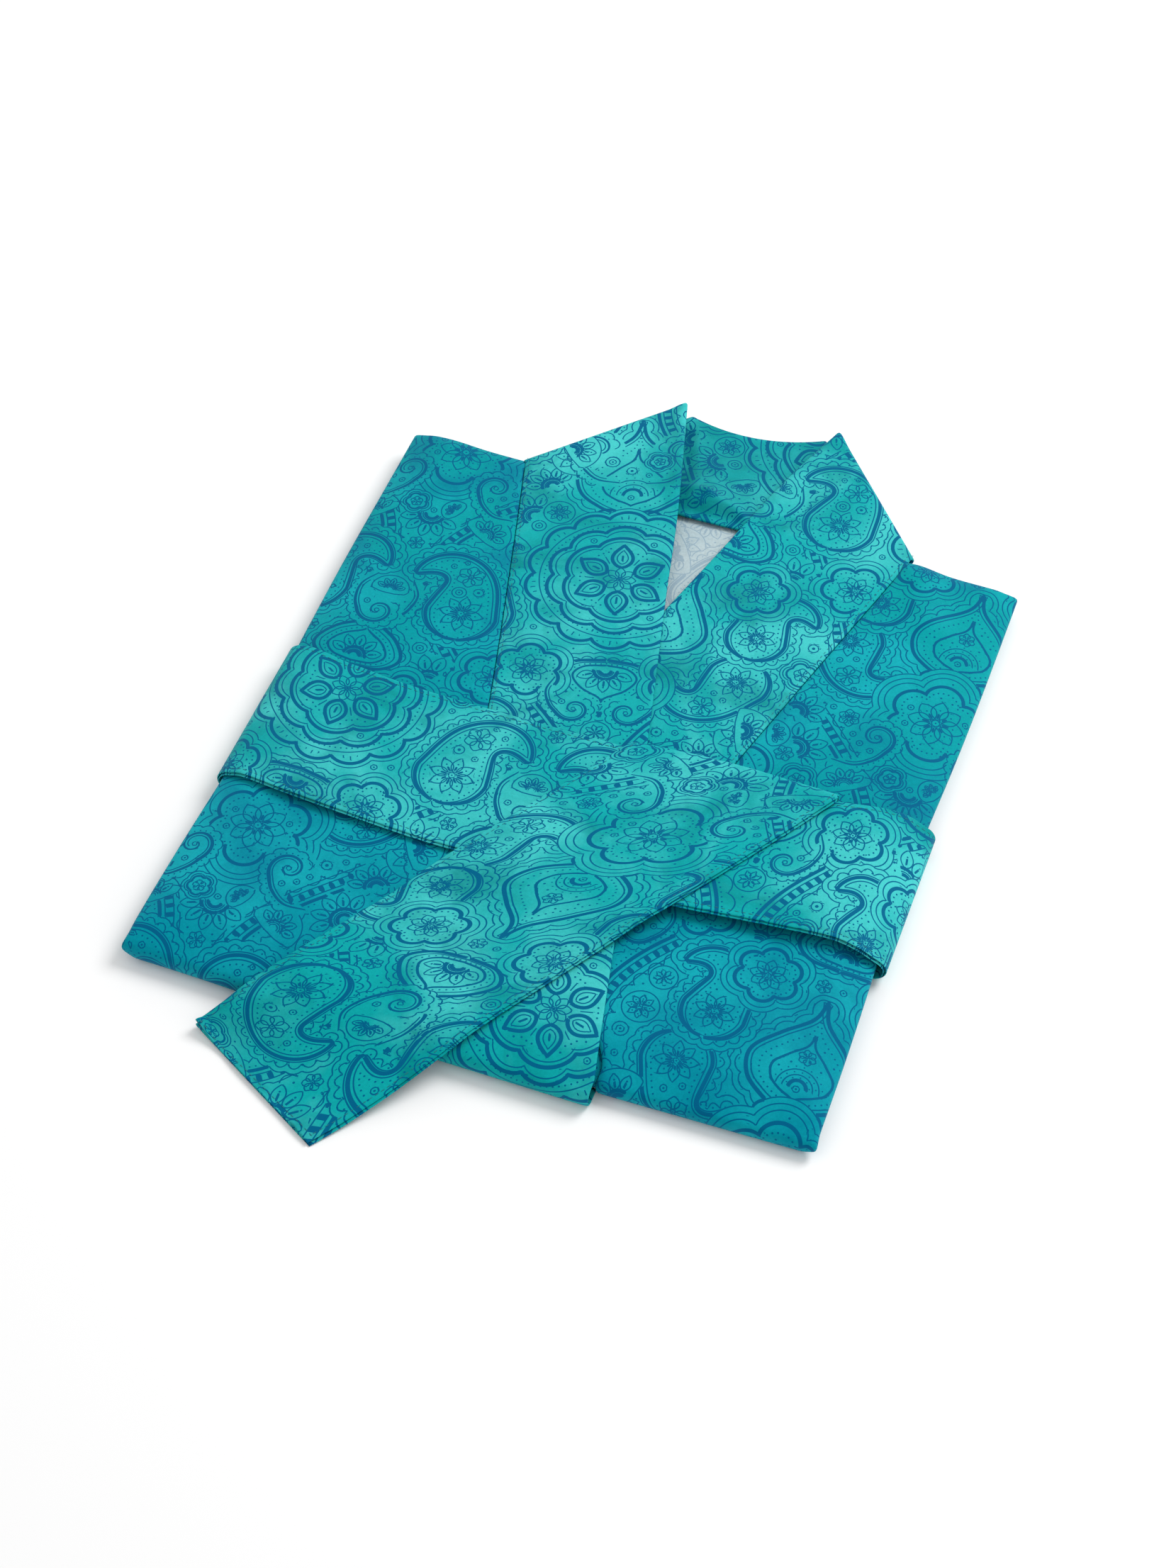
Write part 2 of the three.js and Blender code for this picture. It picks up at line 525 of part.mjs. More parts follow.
// The neckband round the back of the neck, its inner face up: from the neck seam over a soft roll to its free edge.
function backBand() {
  const drop = 2 * BAND_TURN.radius + BAND_WALL;
  const sideOf = (turn, level) => ({
    end: turnEndOf(turn),
    peak: peakOf(turn),
    inset: turnOutward(turn).multiplyScalar(-BAND_TURN.lip - 2 * GAP),
    height: level + GAP - drop,
  });
  const right = sideOf(RIGHT_TURN, HIGH_LEVEL);
  const left = sideOf(LEFT_TURN, LOW_LEVEL);
  const edge = (side, row) => side.end.clone().lerp(side.peak, row).add(side.inset);
  return clothWall(steps(9), steps(18), BAND_WALL, (row, column, off) => {
    const spot = edge(right, row).lerp(edge(left, row), column);
    const bow = 4 * column * (1 - column) * mix(BACK_BAND_BOW.seam, BACK_BAND_BOW.free, row);
    const y = spot.y - bow;
    const roll =
      NECK_ROLL.height *
      hill(spot.x, NECK_ROLL.x, NECK_ROLL.spread) *
      smooth(NECK_ROLL.fromY, NECK_ROLL.topY, y) *
      (1 - 0.9 * smooth(NECK_ROLL.topY + 2, NECK_ROLL.fallY, y));
    return new THREE.Vector3(spot.x, y, mix(right.height, left.height, column) + roll + off);
  });
}

// The inside of the back, seen in the V between the neckbands.
function backInside() {
  const margin = 9;
  const foot = 84;
  return clothWall(steps(8), steps(6), INSIDE_WALL, (row, column, off) => {
    const y = mix(foot, 154, row);
    const from = neckbandEdge(y) - margin;
    const to = read(LEFT_BAND, "y", "inner", y) + margin;
    return lie(UNDER_INSIDE, mix(from, to, column), y, 0, 0, GAP + off);
  });
}

// ---------------------------------------------------------------- sash

// One stretch of the sash: from the join under its free end, round a side of the packet, to the join below.
function sashStretch(sideSign, reach) {
  const endX = SASH_JOIN_X + (sideSign * GAP) / 2;
  const underX = SASH_UNDER_JOIN_X + (sideSign * GAP) / 2;
  const ARC = 8;
  const straight = steps(16).map((at) => ({ part: "top", at }));
  const arc = steps(ARC).slice(1).map((at) => ({ part: "arc", at }));
  const below = [0.5, 1].map((at) => ({ part: "below", at }));
  return clothWall([...straight, ...arc, ...below], steps(5), SASH_WALL, (row, column, off) => {
    const edge = sideSign * (reach - 4);
    const heightAt = (x) => mix(read(SASH, "x", "lowerTop", x), read(SASH, "x", "upperTop", x), column);
    const acrossAt = (x) => mix(read(SASH, "x", "lower", x), read(SASH, "x", "upper", x), column);
    const radius = heightAt(edge) / (1 + Math.cos(SASH_SIDE.start));
    const middle = reach - radius;
    const startX = sideSign * (middle + radius * Math.sin(SASH_SIDE.start));
    const inner = radius - SASH_WALL + off;
    if (row.part === "top") {
      const x = mix(endX, startX, row.at);
      const slope = heightAt(x + 0.5) - heightAt(x - 0.5);
      const lean = Math.hypot(1, slope);
      const down = SASH_WALL - off;
      return new THREE.Vector3(x + (slope * down) / lean, acrossAt(x), heightAt(x) - down / lean);
    }
    if (row.part === "arc") {
      const angle = mix(SASH_SIDE.start, Math.PI, row.at);
      return new THREE.Vector3(
        sideSign * (middle + inner * Math.sin(angle)),
        acrossAt(startX),
        radius + inner * Math.cos(angle),
      );
    }
    const x = mix(sideSign * middle, underX, row.at);
    return new THREE.Vector3(x, acrossAt(startX), SASH_WALL - off);
  });
}

// The free end, from the leg tucked behind the sash, over the fold, to its end on the table.
function sashTail() {
  const FOLD_STEPS = 7;
  const leg = [0, 0.5].map((at) => ({ part: "leg", at }));
  const fold = steps(FOLD_STEPS).map((at) => ({ part: "fold", at }));
  const laid = steps(24).slice(1).map((at) => ({ part: "laid", at }));
  const edgeOf = (name, at) => read(TAIL, "along", name, at);
  const start = TAIL[0];
  const end = TAIL.at(-1);
  const direction = new THREE.Vector2(end.leftX - start.leftX, end.leftY - start.leftY).normalize();
  return clothWall([...leg, ...fold, ...laid], steps(6), SASH_WALL, (row, column, off) => {
    const arch = TAIL_BOW * 4 * column * (1 - column);
    if (row.part === "laid") {
      const x = mix(edgeOf("leftX", row.at), edgeOf("rightX", row.at), column);
      const y = mix(edgeOf("leftY", row.at), edgeOf("rightY", row.at), column) + arch * (1 - smooth(0, 0.2, row.at));
      const top = mix(edgeOf("leftTop", row.at), edgeOf("rightTop", row.at), column);
      return new THREE.Vector3(x, y, top - SASH_WALL + off);
    }
    const x = mix(start.leftX, start.rightX, column);
    const foldY = mix(start.leftY, start.rightY, column) + arch;
    const upperInner = mix(start.leftTop, start.rightTop, column) - SASH_WALL;
    const radius = (upperInner - LEG_TOP) / 2;
    const middleZ = LEG_TOP + radius;
    if (row.part === "fold") {
      const angle = Math.PI * row.at;
      const reach = (radius + off) * Math.sin(angle);
      return new THREE.Vector3(x, foldY + reach, middleZ - (radius + off) * Math.cos(angle));
    }
    const back = TAIL_LEG * (1 - row.at);
    return new THREE.Vector3(x - direction.x * back, foldY + direction.y * back, LEG_TOP - off);
  });
}

// ---------------------------------------------------------------- the robe

const CLOTH_FINISH = { roughness: 0.62, metalness: 0 };
const panelCloth = (name) => new THREE.MeshStandardMaterial({ name, color: 0x1496af, ...CLOTH_FINISH });
const bandCloth = (name) => new THREE.MeshStandardMaterial({ name, color: 0x4fbfb9, ...CLOTH_FINISH });
const wrongSide = (name) => new THREE.MeshStandardMaterial({ name, color: 0xc6cdd6, ...CLOTH_FINISH });

const robe = new THREE.Group();

function addPiece(name, geometry, material) {
  const mesh = new THREE.Mesh(geometry, material);
  mesh.name = name;
  robe.add(mesh);
}

addPiece("folded_layers", foldedLayers(), panelCloth("hidden layers"));
addPiece(
  "front_right",
  frontPanel({ ground: UNDER_RIGHT, sideSign: -1, edgeAt: frontRightEdge, level: 1, middleColumns: 4 }),
  panelCloth("right front"),
);
addPiece(
  "front_left",
  frontPanel({ ground: UNDER_LEFT, sideSign: 1, edgeAt: frontLeftEdge, level: 0, middleColumns: 5 }),
  panelCloth("left front"),
);
addPiece("back_inside", backInside(), wrongSide("back, inside"));
addPiece(
  "neckband_left",
  frontBand({
    ground: UNDER_LEFT_BAND,
    innerAt: (y) => Math.max(read(LEFT_BAND, "y", "inner", y), lapEdge(y)),
    turn: LEFT_TURN,
    startAt: () => LEFT_BAND_END_Y,
    hemTurns: 0,
    straight: steps(18),
  }),
  bandCloth("neckband, left"),
);
addPiece(
  "neckband_right",
  frontBand({
    ground: UNDER_RIGHT_BAND,
    innerAt: neckbandEdge,
    turn: RIGHT_TURN,
    startAt: (x) => CORNER - hemInner(x, 1),
    hemTurns: TURNS,
    straight: [...ENDS.hem, ...steps(16).slice(2)],
  }),
  bandCloth("neckband, right"),
);
addPiece("neckband_back", backBand(), bandCloth("neckband, back of the neck"));
addPiece("sash_right", sashStretch(-1, SASH_SIDE.right), bandCloth("sash, right side"));
addPiece("sash_left", sashStretch(1, SASH_SIDE.left), bandCloth("sash, left side"));
addPiece("sash_tail", sashTail(), bandCloth("sash, free end"));

export default robe;
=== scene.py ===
import math

import bpy
import numpy as np
from mathutils import Matrix, Vector
from mathutils.kdtree import KDTree


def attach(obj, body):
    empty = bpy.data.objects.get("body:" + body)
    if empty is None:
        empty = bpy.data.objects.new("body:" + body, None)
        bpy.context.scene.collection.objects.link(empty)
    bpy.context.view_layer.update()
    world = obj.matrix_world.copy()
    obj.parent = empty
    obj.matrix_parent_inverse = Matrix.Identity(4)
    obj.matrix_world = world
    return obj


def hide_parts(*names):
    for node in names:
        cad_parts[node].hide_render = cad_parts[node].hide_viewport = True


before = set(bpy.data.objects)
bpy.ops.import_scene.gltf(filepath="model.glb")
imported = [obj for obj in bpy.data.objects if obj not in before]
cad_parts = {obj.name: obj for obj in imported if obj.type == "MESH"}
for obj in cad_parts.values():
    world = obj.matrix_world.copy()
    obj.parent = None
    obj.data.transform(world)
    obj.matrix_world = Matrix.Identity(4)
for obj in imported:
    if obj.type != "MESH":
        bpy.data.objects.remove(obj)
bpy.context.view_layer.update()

scene = bpy.context.scene
MM = 0.001

# ==== the view ====
# The robe lies folded on a table and is looked down on from its foot end, a little from its left, through a
# fairly long lens 1.3 m away, so that its edges stay nearly parallel.
VIEW = {
    "azimuth": math.radians(19.83), "elevation": math.radians(49.67),
    "across": -2.56, "up": -4.91, "away": 1308.9,
}
LONG_SIDE_PX, FOCAL_PX, SENSOR_MM = 2212, 4201, 36

turn, tilt = VIEW["azimuth"], VIEW["elevation"]
view_back = Vector((math.sin(turn) * math.cos(tilt), -math.cos(turn) * math.cos(tilt), math.sin(tilt)))
view_right = Vector((math.cos(turn), math.sin(turn), 0))
view_up = view_back.cross(view_right)
lens = bpy.data.cameras.new("view")
lens.sensor_width = SENSOR_MM
lens.lens = FOCAL_PX / LONG_SIDE_PX * SENSOR_MM
camera = bpy.data.objects.new("view", lens)
camera.matrix_world = Matrix((
    (view_right.x, view_up.x, view_back.x, 0),
    (view_right.y, view_up.y, view_back.y, 0),
    (view_right.z, view_up.z, view_back.z, 0),
    (0, 0, 0, 1),
))
camera.location = (view_right * VIEW["across"] + view_up * VIEW["up"] + view_back * VIEW["away"]) * MM
lens.clip_start, lens.clip_end = 0.05, 20
scene.collection.objects.link(camera)
scene.camera = camera
scene.view_settings.view_transform = "Standard"

# ==== table and light ====
# A plain matt white table top, which only carries the robe, under one big soft light from beyond its left
# shoulder, with white all round.
TABLE_HALF, TABLE_Z = 3.0, -0.0002  # m
table_mesh = bpy.data.meshes.new("table_top")
table_corners = [(x * TABLE_HALF, y * TABLE_HALF, TABLE_Z) for x, y in ((-1, -1), (1, -1), (1, 1), (-1, 1))]
table_mesh.from_pydata(table_corners, [], [(0, 1, 2, 3)])
table_top = bpy.data.objects.new("table_top", table_mesh)
scene.collection.objects.link(table_top)
table_white = bpy.data.materials.new("table_white")
table_white.use_nodes = True
table_shader = table_white.node_tree.nodes["Principled BSDF"]
table_shader.inputs["Base Color"].default_value = (0.97, 0.97, 0.97, 1)
table_shader.inputs["Roughness"].default_value = 0.9
table_shader.inputs["Specular IOR Level"].default_value = 0.1
table_mesh.materials.append(table_white)

sky = bpy.data.worlds.new("soft_white")
sky.use_nodes = True
sky_light = sky.node_tree.nodes["Background"]
sky_light.inputs["Color"].default_value = (1, 1, 1, 1)
sky_light.inputs["Strength"].default_value = 0.72
scene.world = sky

LIGHT_AT = Vector((0.9, 1.1, 1.5))
window = bpy.data.lights.new("window_light", "AREA")
window.shape = "DISK"
window.size = 1.1
window.energy = 26
window_light = bpy.data.objects.new("window_light", window)
window_light.location = LIGHT_AT
window_light.rotation_mode = "QUATERNION"
window_light.rotation_quaternion = (-LIGHT_AT).to_track_quat("-Z", "Y")
scene.collection.objects.link(window_light)

# ==== hidden layers: back, sleeves, sides and the folded-under fronts ====
# Printed microfibre, folded in under the fronts. The folds lie on one another as a flat packet with soft
# rounded sides, on which the edge of each folded cloth shows as a lip. The two fronts are wrapped over it.
# The laps and steps on its top are where the bands and the fronts above lie over one another.
GAP = 0.3  # mm between pieces
PANEL_WALL, BAND_WALL, SASH_WALL = 1.2, 1.5, 1.5
SKIN = GAP + PANEL_WALL
LOW_LEVEL = 11.5
HIGH_LEVEL = LOW_LEVEL + GAP + BAND_WALL
SIDE_REACH, WAIST = 150, {"pull": 3, "y": -28, "spread": 70}
SHOULDER = {"reach": 160.6, "slant": -0.0203}
HEM = {"right": 163.2, "bulge": 6, "left": 161.2, "slant": -0.0143}
START = 0.314  # radians, the slope at which a fold's round begins
DROP = {"side": 2.8, "hem": 4.3, "shoulder": 0.8}  # how far the top falls before it turns over the edge
ROLL = 0.9
TUCK = {"side": 3, "hem": 6, "shoulder": 3}
TURN_SHARE, CORNER, TURNS = 0.8, 4.5, 7
SQUARE = 14  # the packet's corners are nearly square in plan: 2 would be a round corner
NECK = {
    "depth": 3.6, "from": 38, "to": 98, "v_top": 118, "wide": 150, "margin": 10, "ramp": 4, "squeeze": 0.25,
}
LAP = {"width": 12, "from": -152, "to": -124, "clear": 5, "ramp": 8, "hem_room": 2}
DIP_FROM, DIP_TO = 3, 7
# y, free inner edge, seam
RIGHT_BAND = np.array([
    (-170, 60.1, -13), (-93, 42.9, -30.4), (9, 21.2, -52.6), (98, -0.3, -75.4),
    (154, -13.2, -90.4), (224, -32.2, -110),
], float)
LEFT_BAND = np.array([
    (-80, -40, 34.4), (13, -19, 58.8), (93, 1.2, 79.6), (155, 18.1, 96), (198, 29.7, 107), (231, 41.2, 116),
], float)


def mix(a, b, share):
    return a + (b - a) * share


def smooth(low, high, value):
    t = np.clip((value - low) / (high - low), 0, 1)
    return t * t * (3 - 2 * t)


def hill(value, middle, spread):
    return np.exp(-(((value - middle) / spread) ** 2))


def read(rows, column, at):
    """One column of a table between its rows, on a smooth curve. The first column says where each row is."""
    keys, values, at = rows[:, 0], rows[:, column], np.asarray(at, float)
    k = np.clip(np.searchsorted(keys, at, side="left") - 1, 0, len(keys) - 2)
    slopes = np.concatenate([
        [(values[1] - values[0]) / (keys[1] - keys[0])],
        (values[2:] - values[:-2]) / (keys[2:] - keys[:-2]),
        [(values[-1] - values[-2]) / (keys[-1] - keys[-2])],
    ])
    span = keys[k + 1] - keys[k]
    t = (at - keys[k]) / span
    inside = np.clip(t, 0, 1)
    curve = mix(values[k], values[k + 1], inside * inside * (3 - 2 * inside))
    curve += slopes[k] * span * inside * (1 - inside) ** 2 - slopes[k + 1] * span * inside**2 * (1 - inside)
    before = np.where(t < 0, slopes[k] * t * span, 0)
    after = np.where(t > 1, slopes[k + 1] * (t - 1) * span, 0)
    return curve + before + after


def band_edge(y):
    return read(RIGHT_BAND, 1, y)


def right_seam(y):
    return read(RIGHT_BAND, 2, y)


def left_seam(y):
    return read(LEFT_BAND, 2, y)


def lap_width(y):
    return LAP["width"] * smooth(LAP["from"], LAP["to"], y)


def wideness(y):
    return smooth(NECK["v_top"], NECK["wide"], y)


def squeeze(y):
    return mix(1, NECK["squeeze"], wideness(y))


def step_x(y):
    return mix(band_edge(y) - lap_width(y) - LAP["clear"], right_seam(y) + 2 * GAP, wideness(y))


def dip_end_x(y):
    in_v = read(LEFT_BAND, 1, y) + NECK["margin"]
    return np.maximum(mix(in_v, left_seam(y) - 3, wideness(y)), step_x(y) + 2 * DIP_TO)


def lap_level(x, y):
    return smooth(0, 1, (step_x(y) - x) / (LAP["ramp"] * squeeze(y)))


def neck_dip(x, y):
    near = (x - step_x(y)) / squeeze(y)
    ends = smooth(0, NECK["ramp"], dip_end_x(y) + NECK["ramp"] - x)
    return NECK["depth"] * smooth(NECK["from"], NECK["to"], y) * smooth(DIP_FROM, DIP_TO, near) * ends


def ridges(rows, x, y):
    """The height of soft ridges and troughs, each along a line from one point to another."""
    total = 0.0
    for x1, y1, x2, y2, width, height in rows:
        dx, dy = x2 - x1, y2 - y1
        share = np.clip(((x - x1) * dx + (y - y1) * dy) / (dx * dx + dy * dy), 0, 1)
        total = total + height * hill(np.hypot(x - x1 - share * dx, y - y1 - share * dy), 0, width)
    return total


def ground_of(level, dips=0, swells=None, beyond=False, deeper=0):
    return {"level": level, "dips": dips, "swells": swells, "beyond": beyond, "deeper": deeper}


CORE = ground_of(lap_level, dips=1, deeper=2 * GAP)


def level_of(ground, x, y):
    return ground["level"](x, y) if callable(ground["level"]) else ground["level"]


def turn_radius(height):
    return (height - SKIN) / (1 + math.cos(START))


def inner_of(reach, radius):
    return reach - radius - SKIN + radius * math.sin(START)


def side_inner(y):
    return inner_of(SIDE_REACH - WAIST["pull"] * hill(y, WAIST["y"], WAIST["spread"]), ROLL)


def shoulder_inner(x):
    return inner_of(SHOULDER["reach"] + SHOULDER["slant"] * x, ROLL)


def hem_inner(x, level):
    right = HEM["right"] + HEM["bulge"] * smooth(-SIDE_REACH, 25, x)
    left = HEM["left"] + HEM["slant"] * (x - 66)
    return inner_of(mix(left, right, level), turn_radius(mix(LOW_LEVEL, HIGH_LEVEL, level) - DROP["hem"]))


def ground_height(ground, x, y):
    level = level_of(ground, x, y)

    def fall(drop, inside):
        return drop * np.clip(1 - inside * math.tan(START) / (2 * drop), 0, 1) ** 2

    falls = [fall(DROP["hem"], hem_inner(x, level) + y)]
    if not ground["beyond"]:
        falls.append(fall(DROP["side"], side_inner(y) - np.abs(x)))
        falls.append(fall(DROP["shoulder"], shoulder_inner(x) - y))
    drop = sum(each**4 for each in falls) ** 0.25
    height = mix(LOW_LEVEL, HIGH_LEVEL, level) - drop
    if ground["swells"]:
        height = height + ground["swells"](x, y)
    return height - ground["dips"] * neck_dip(x, y) if ground["dips"] else height


def turned(radius, tuck, share, off):
    """One step of a fold's turn: how far out and how far up from its start."""
    angle = mix(START, math.pi, np.clip(share / TURN_SHARE, 0, 1))
    tucked = np.maximum(0, share - TURN_SHARE) / (1 - TURN_SHARE)
    out = (radius + off) * np.sin(angle) - radius * math.sin(START) - tuck * tucked
    return out, (radius + off) * np.cos(angle) - radius * math.cos(START)


def rim_of(x, y, turn_x, turn_y):
    over_x, over_y = np.abs(turn_x), np.abs(turn_y)
    share = np.maximum(over_x, over_y)
    quarter = math.pi / 4
    along_side = quarter * over_y / np.maximum(over_x, 1e-9)
    along_end = 2 * quarter - quarter * over_x / np.maximum(over_y, 1e-9)
    swing = np.where(over_x >= over_y, np.where(over_x > 0, along_side, 0), along_end)
    beyond = CORNER * np.minimum(1, share * TURNS)
    squarer = (np.cos(swing) ** SQUARE + np.sin(swing) ** SQUARE) ** (-1 / SQUARE)
    to_x, to_y = np.sign(x) * np.cos(swing) * squarer, np.sign(y) * np.sin(swing) * squarer
    rounds = np.maximum(0, share * TURNS - 1) / (TURNS - 1)
    return x + to_x * beyond, y + to_y * beyond, to_x, to_y, rounds, np.sin(swing) ** 2


def hem_tuck(x, y):
    return TUCK["hem"] * smooth(0, 3 * CORNER, side_inner(y) - CORNER - np.abs(x))


def points_of(x, y, z):
    return np.stack(np.broadcast_arrays(x, y, z), axis=-1).astype(float)


def lie(ground, x, y, turn_x, turn_y, off):
    """Points `off` above a ground, or round its edges where turn_x or turn_y says so."""
    given = [np.asarray(each, float) for each in (x, y, turn_x, turn_y, off)]
    x, y, turn_x, turn_y, off = np.broadcast_arrays(*given)
    rim_x, rim_y, to_x, to_y, rounds, end_share = rim_of(x, y, turn_x, turn_y)
    base = ground_height(ground, rim_x, rim_y)
    slope_x = ground_height(ground, rim_x + 0.5, rim_y) - ground_height(ground, rim_x - 0.5, rim_y)
    slope_y = ground_height(ground, rim_x, rim_y + 0.5) - ground_height(ground, rim_x, rim_y - 0.5)
    steep = np.sqrt(1 + slope_x**2 + slope_y**2)
    flat = points_of(rim_x - slope_x * off / steep, rim_y - slope_y * off / steep, base + off / steep)
    lift = (ground["swells"](rim_x, rim_y) if ground["swells"] else 0) / (1 + math.cos(START))
    at_hem = y < 0
    end_radius = np.where(at_hem, turn_radius(base), ROLL + lift)
    end_tuck = np.where(at_hem, hem_tuck(x, y), TUCK["shoulder"]) + ground["deeper"]
    side_out, side_up = turned(ROLL + lift, TUCK["side"] + ground["deeper"], rounds, off)
    end_out, end_up = turned(end_radius, end_tuck, rounds, off)
    out, up = mix(side_out, end_out, end_share), mix(side_up, end_up, end_share)
    round_it = points_of(rim_x + to_x * out, rim_y + to_y * out, base + up)
    return np.where(rounds[..., None] > 0, round_it, flat)


PITCH = 1.3  # mm between the points of a laid cloth
EDGE_STEPS = np.array([0, 0.06, 0.25, 0.6, 1])  # a rounded edge, as shares of its radius
TURN_STEPS = np.concatenate([np.linspace(0, 1 / TURNS, 5)[1:], np.linspace(1 / TURNS, 1, 27)[1:]])


def edge_round(near):
    return np.sqrt(1 - (1 - np.clip(near, 0, 1)) ** 2)


def grid_loops(numbers):
    """The four corners of every quad in a grid of vertex numbers."""
    corners = [numbers[:-1, :-1], numbers[1:, :-1], numbers[1:, 1:], numbers[:-1, 1:]]
    return np.stack(corners, axis=-1).reshape(-1, 4)


def new_piece(name, points, quads, uvs):
    """A mesh object from points in mm, quads, and the place on the cloth of every quad's corners."""
    a, b, c, d = (points[quads[:, k]] for k in range(4))
    volume = np.einsum("ij,ij->i", a, np.cross(b, c)).sum() + np.einsum("ij,ij->i", a, np.cross(c, d)).sum()
    if volume < 0:
        quads, uvs = quads[:, ::-1], uvs[:, ::-1]
    mesh = bpy.data.meshes.new(name)
    mesh.vertices.add(len(points))
    mesh.vertices.foreach_set("co", (points * MM).ravel())
    mesh.loops.add(quads.size)
    mesh.loops.foreach_set("vertex_index", quads.astype(np.int32).ravel())
    mesh.polygons.add(len(quads))
    mesh.polygons.foreach_set("loop_start", np.arange(0, quads.size, 4, dtype=np.int32))
    mesh.polygons.foreach_set("use_smooth", np.ones(len(quads), bool))
    mesh.update(calc_edges=True)
    mesh.uv_layers.new(name="OFBake").data.foreach_set("uv", (uvs * MM).ravel())
    piece = bpy.data.objects.new(name, mesh)
    scene.collection.objects.link(piece)
    return piece


def cloth_shell(name, outer, inner, uv):
    """A closed wall of cloth between two grids of points that share their rims."""
    rows, columns = outer.shape[:2]
    top = np.arange(rows * columns).reshape(rows, columns)
    below = top.copy()
    below[1:-1, 1:-1] = rows * columns + np.arange((rows - 2) * (columns - 2)).reshape(rows - 2, columns - 2)
    points = np.concatenate([outer.reshape(-1, 3), inner[1:-1, 1:-1].reshape(-1, 3)])
    quads = np.concatenate([grid_loops(top), grid_loops(below)[:, ::-1]])
    place = uv.reshape(-1, 2)[np.concatenate([grid_loops(top), grid_loops(top)[:, ::-1]])]
    return new_piece(name, points, quads, place)


def past_rim(points, turns, way):
    """Along one way of a grid: the last flat stations, and how far each station lies beyond them."""
    flat = np.flatnonzero(np.abs(turns) < 1 / TURNS + 1e-6)
    gaps = np.linalg.norm(np.diff(points, axis=way), axis=-1)
    run = np.cumsum(np.concatenate([np.zeros_like(np.take(gaps, [0], axis=way)), gaps], axis=way), axis=way)
    held = np.clip(np.arange(points.shape[way]), flat[0], flat[-1])
    return held, run - np.take(run, held, axis=way)


def cloth_place(points, turn_x, turn_y, axis=(0, 1)):
    """Where each point was on the flat cloth: its plan place, and past a rim the way round it."""
    ax, ay = axis
    across = points[..., 0] * ay - points[..., 1] * ax
    along = points[..., 0] * ax + points[..., 1] * ay
    held, beyond = past_rim(points, turn_x, 1)
    across = across[:, held] + beyond
    held, beyond = past_rim(points, turn_y, 0)
    along = along[held] + beyond
    return np.stack([across, along], axis=-1)


# The print is line art: leaves, flowers and scrolls between waving ladders, drawn once as strokes and dots on
# one repeat. Places in it are complex numbers in mm. A figure is its strokes, its dots and what it covers.
REPEAT = (196, 244)  # mm
NEIGHBOURS = [complex(i * REPEAT[0], j * REPEAT[1]) for i in (-1, 0, 1) for j in (-1, 0, 1)]
LARGER = 1.15  # the figures are set out on a repeat this much smaller
FINE, MEDIUM, BOLD, BLOCK = 0.29, 0.52, 0.86, 1.15  # mm, half the width of a stroke
SAMPLE = 0.7  # mm between the samples of a stroke
BORDER = 22  # mm drawn past the repeat on each side


def polar(radius, angle):
    return radius * np.exp(1j * np.asarray(angle))


def through(points):
    """A smooth curve through given points."""
    p = np.asarray(points, complex)
    q = np.concatenate([2 * p[:1] - p[1:2], p, 2 * p[-1:] - p[-2:-1]])
    t = np.linspace(0, 1, 14, endpoint=False)[None, :]
    a, b, c, d = (q[k:len(q) - 3 + k, None] for k in range(4))
    square, cube = a - 2.5 * b + 2 * c - 0.5 * d, 1.5 * (b - c) + 0.5 * (d - a)
    curve = b + 0.5 * t * (c - a) + t**2 * square + t**3 * cube
    return np.append(curve.ravel(), p[-1])


def respaced(path, step):
    way = np.concatenate([[0], np.cumsum(np.abs(np.diff(path)))])
    at = np.linspace(0, way[-1], max(2, int(round(way[-1] / step)) + 1))
    return np.interp(at, way, path.real) + 1j * np.interp(at, way, path.imag)


def beside(path, off):
    """The path moved to its right by off mm."""
    tangent = np.gradient(path)
    return path - 1j * off * tangent / np.maximum(np.abs(tangent), 1e-9)


def scalloped(path, pitch, depth):
    """Round scallops on the right of a path."""
    even = respaced(path, 0.4)
    way = np.linspace(0, 1, len(even))
    count = max(2, round(np.abs(np.diff(even)).sum() / pitch))
    tangent = np.gradient(even)
    return even - 1j * depth * np.abs(np.sin(math.pi * count * way)) ** 0.62 * tangent / np.abs(tangent)


def dots_along(path, pitch, radius, off=0):
    spots = respaced(beside(path, off) if off else path, pitch)
    return [(spot, radius) for spot in spots[:-1]]


def loop(radius, middle=0):
    return middle + polar(radius, np.linspace(0, 2 * math.pi, max(10, int(radius * 9))))


def leaf(base, tip, width, point):
    """A closed leaf from base to tip. A larger point draws its tip out."""
    t = np.linspace(0, 1, 18)
    half = width / 2 * np.sin(math.pi * t**0.85) ** 0.75 * (1 - t**3) ** (0.35 * point)
    spine, side = base + (tip - base) * t, 1j * (tip - base) / abs(tip - base)
    return np.concatenate([spine - side * half, (spine + side * half)[::-1]])


def figure(lines, dots, cover):
    return {"lines": lines, "dots": dots, "cover": cover}


def moved(art, to, angle=0.0, size=1.0, mirrored=False):
    def place(path):
        path = -np.conj(path) if mirrored else np.asarray(path)
        return to + path * size * np.exp(1j * math.radians(angle))

    lines = [(place(path), weight) for path, weight in art["lines"]]
    return figure(lines, [(place(spot), radius * size) for spot, radius in art["dots"]], place(art["cover"]))


def joined(*parts):
    """Several figures as one, which covers what the first of them covers."""
    lines = [line for part in parts for line in part["lines"]]
    return figure(lines, [dot for part in parts for dot in part["dots"]], parts[0]["cover"])


def echoed(art, off=2.1):
    """A figure with one more line round it."""
    edge = respaced(np.append(art["cover"], art["cover"][:1]), 0.5)
    outer = beside(edge, off)
    outer = outer[np.abs(outer[:, None] - edge[None, :]).min(axis=1) > off - 0.12]
    return figure(art["lines"] + [(np.append(outer, outer[:1]), FINE)], art["dots"], outer)


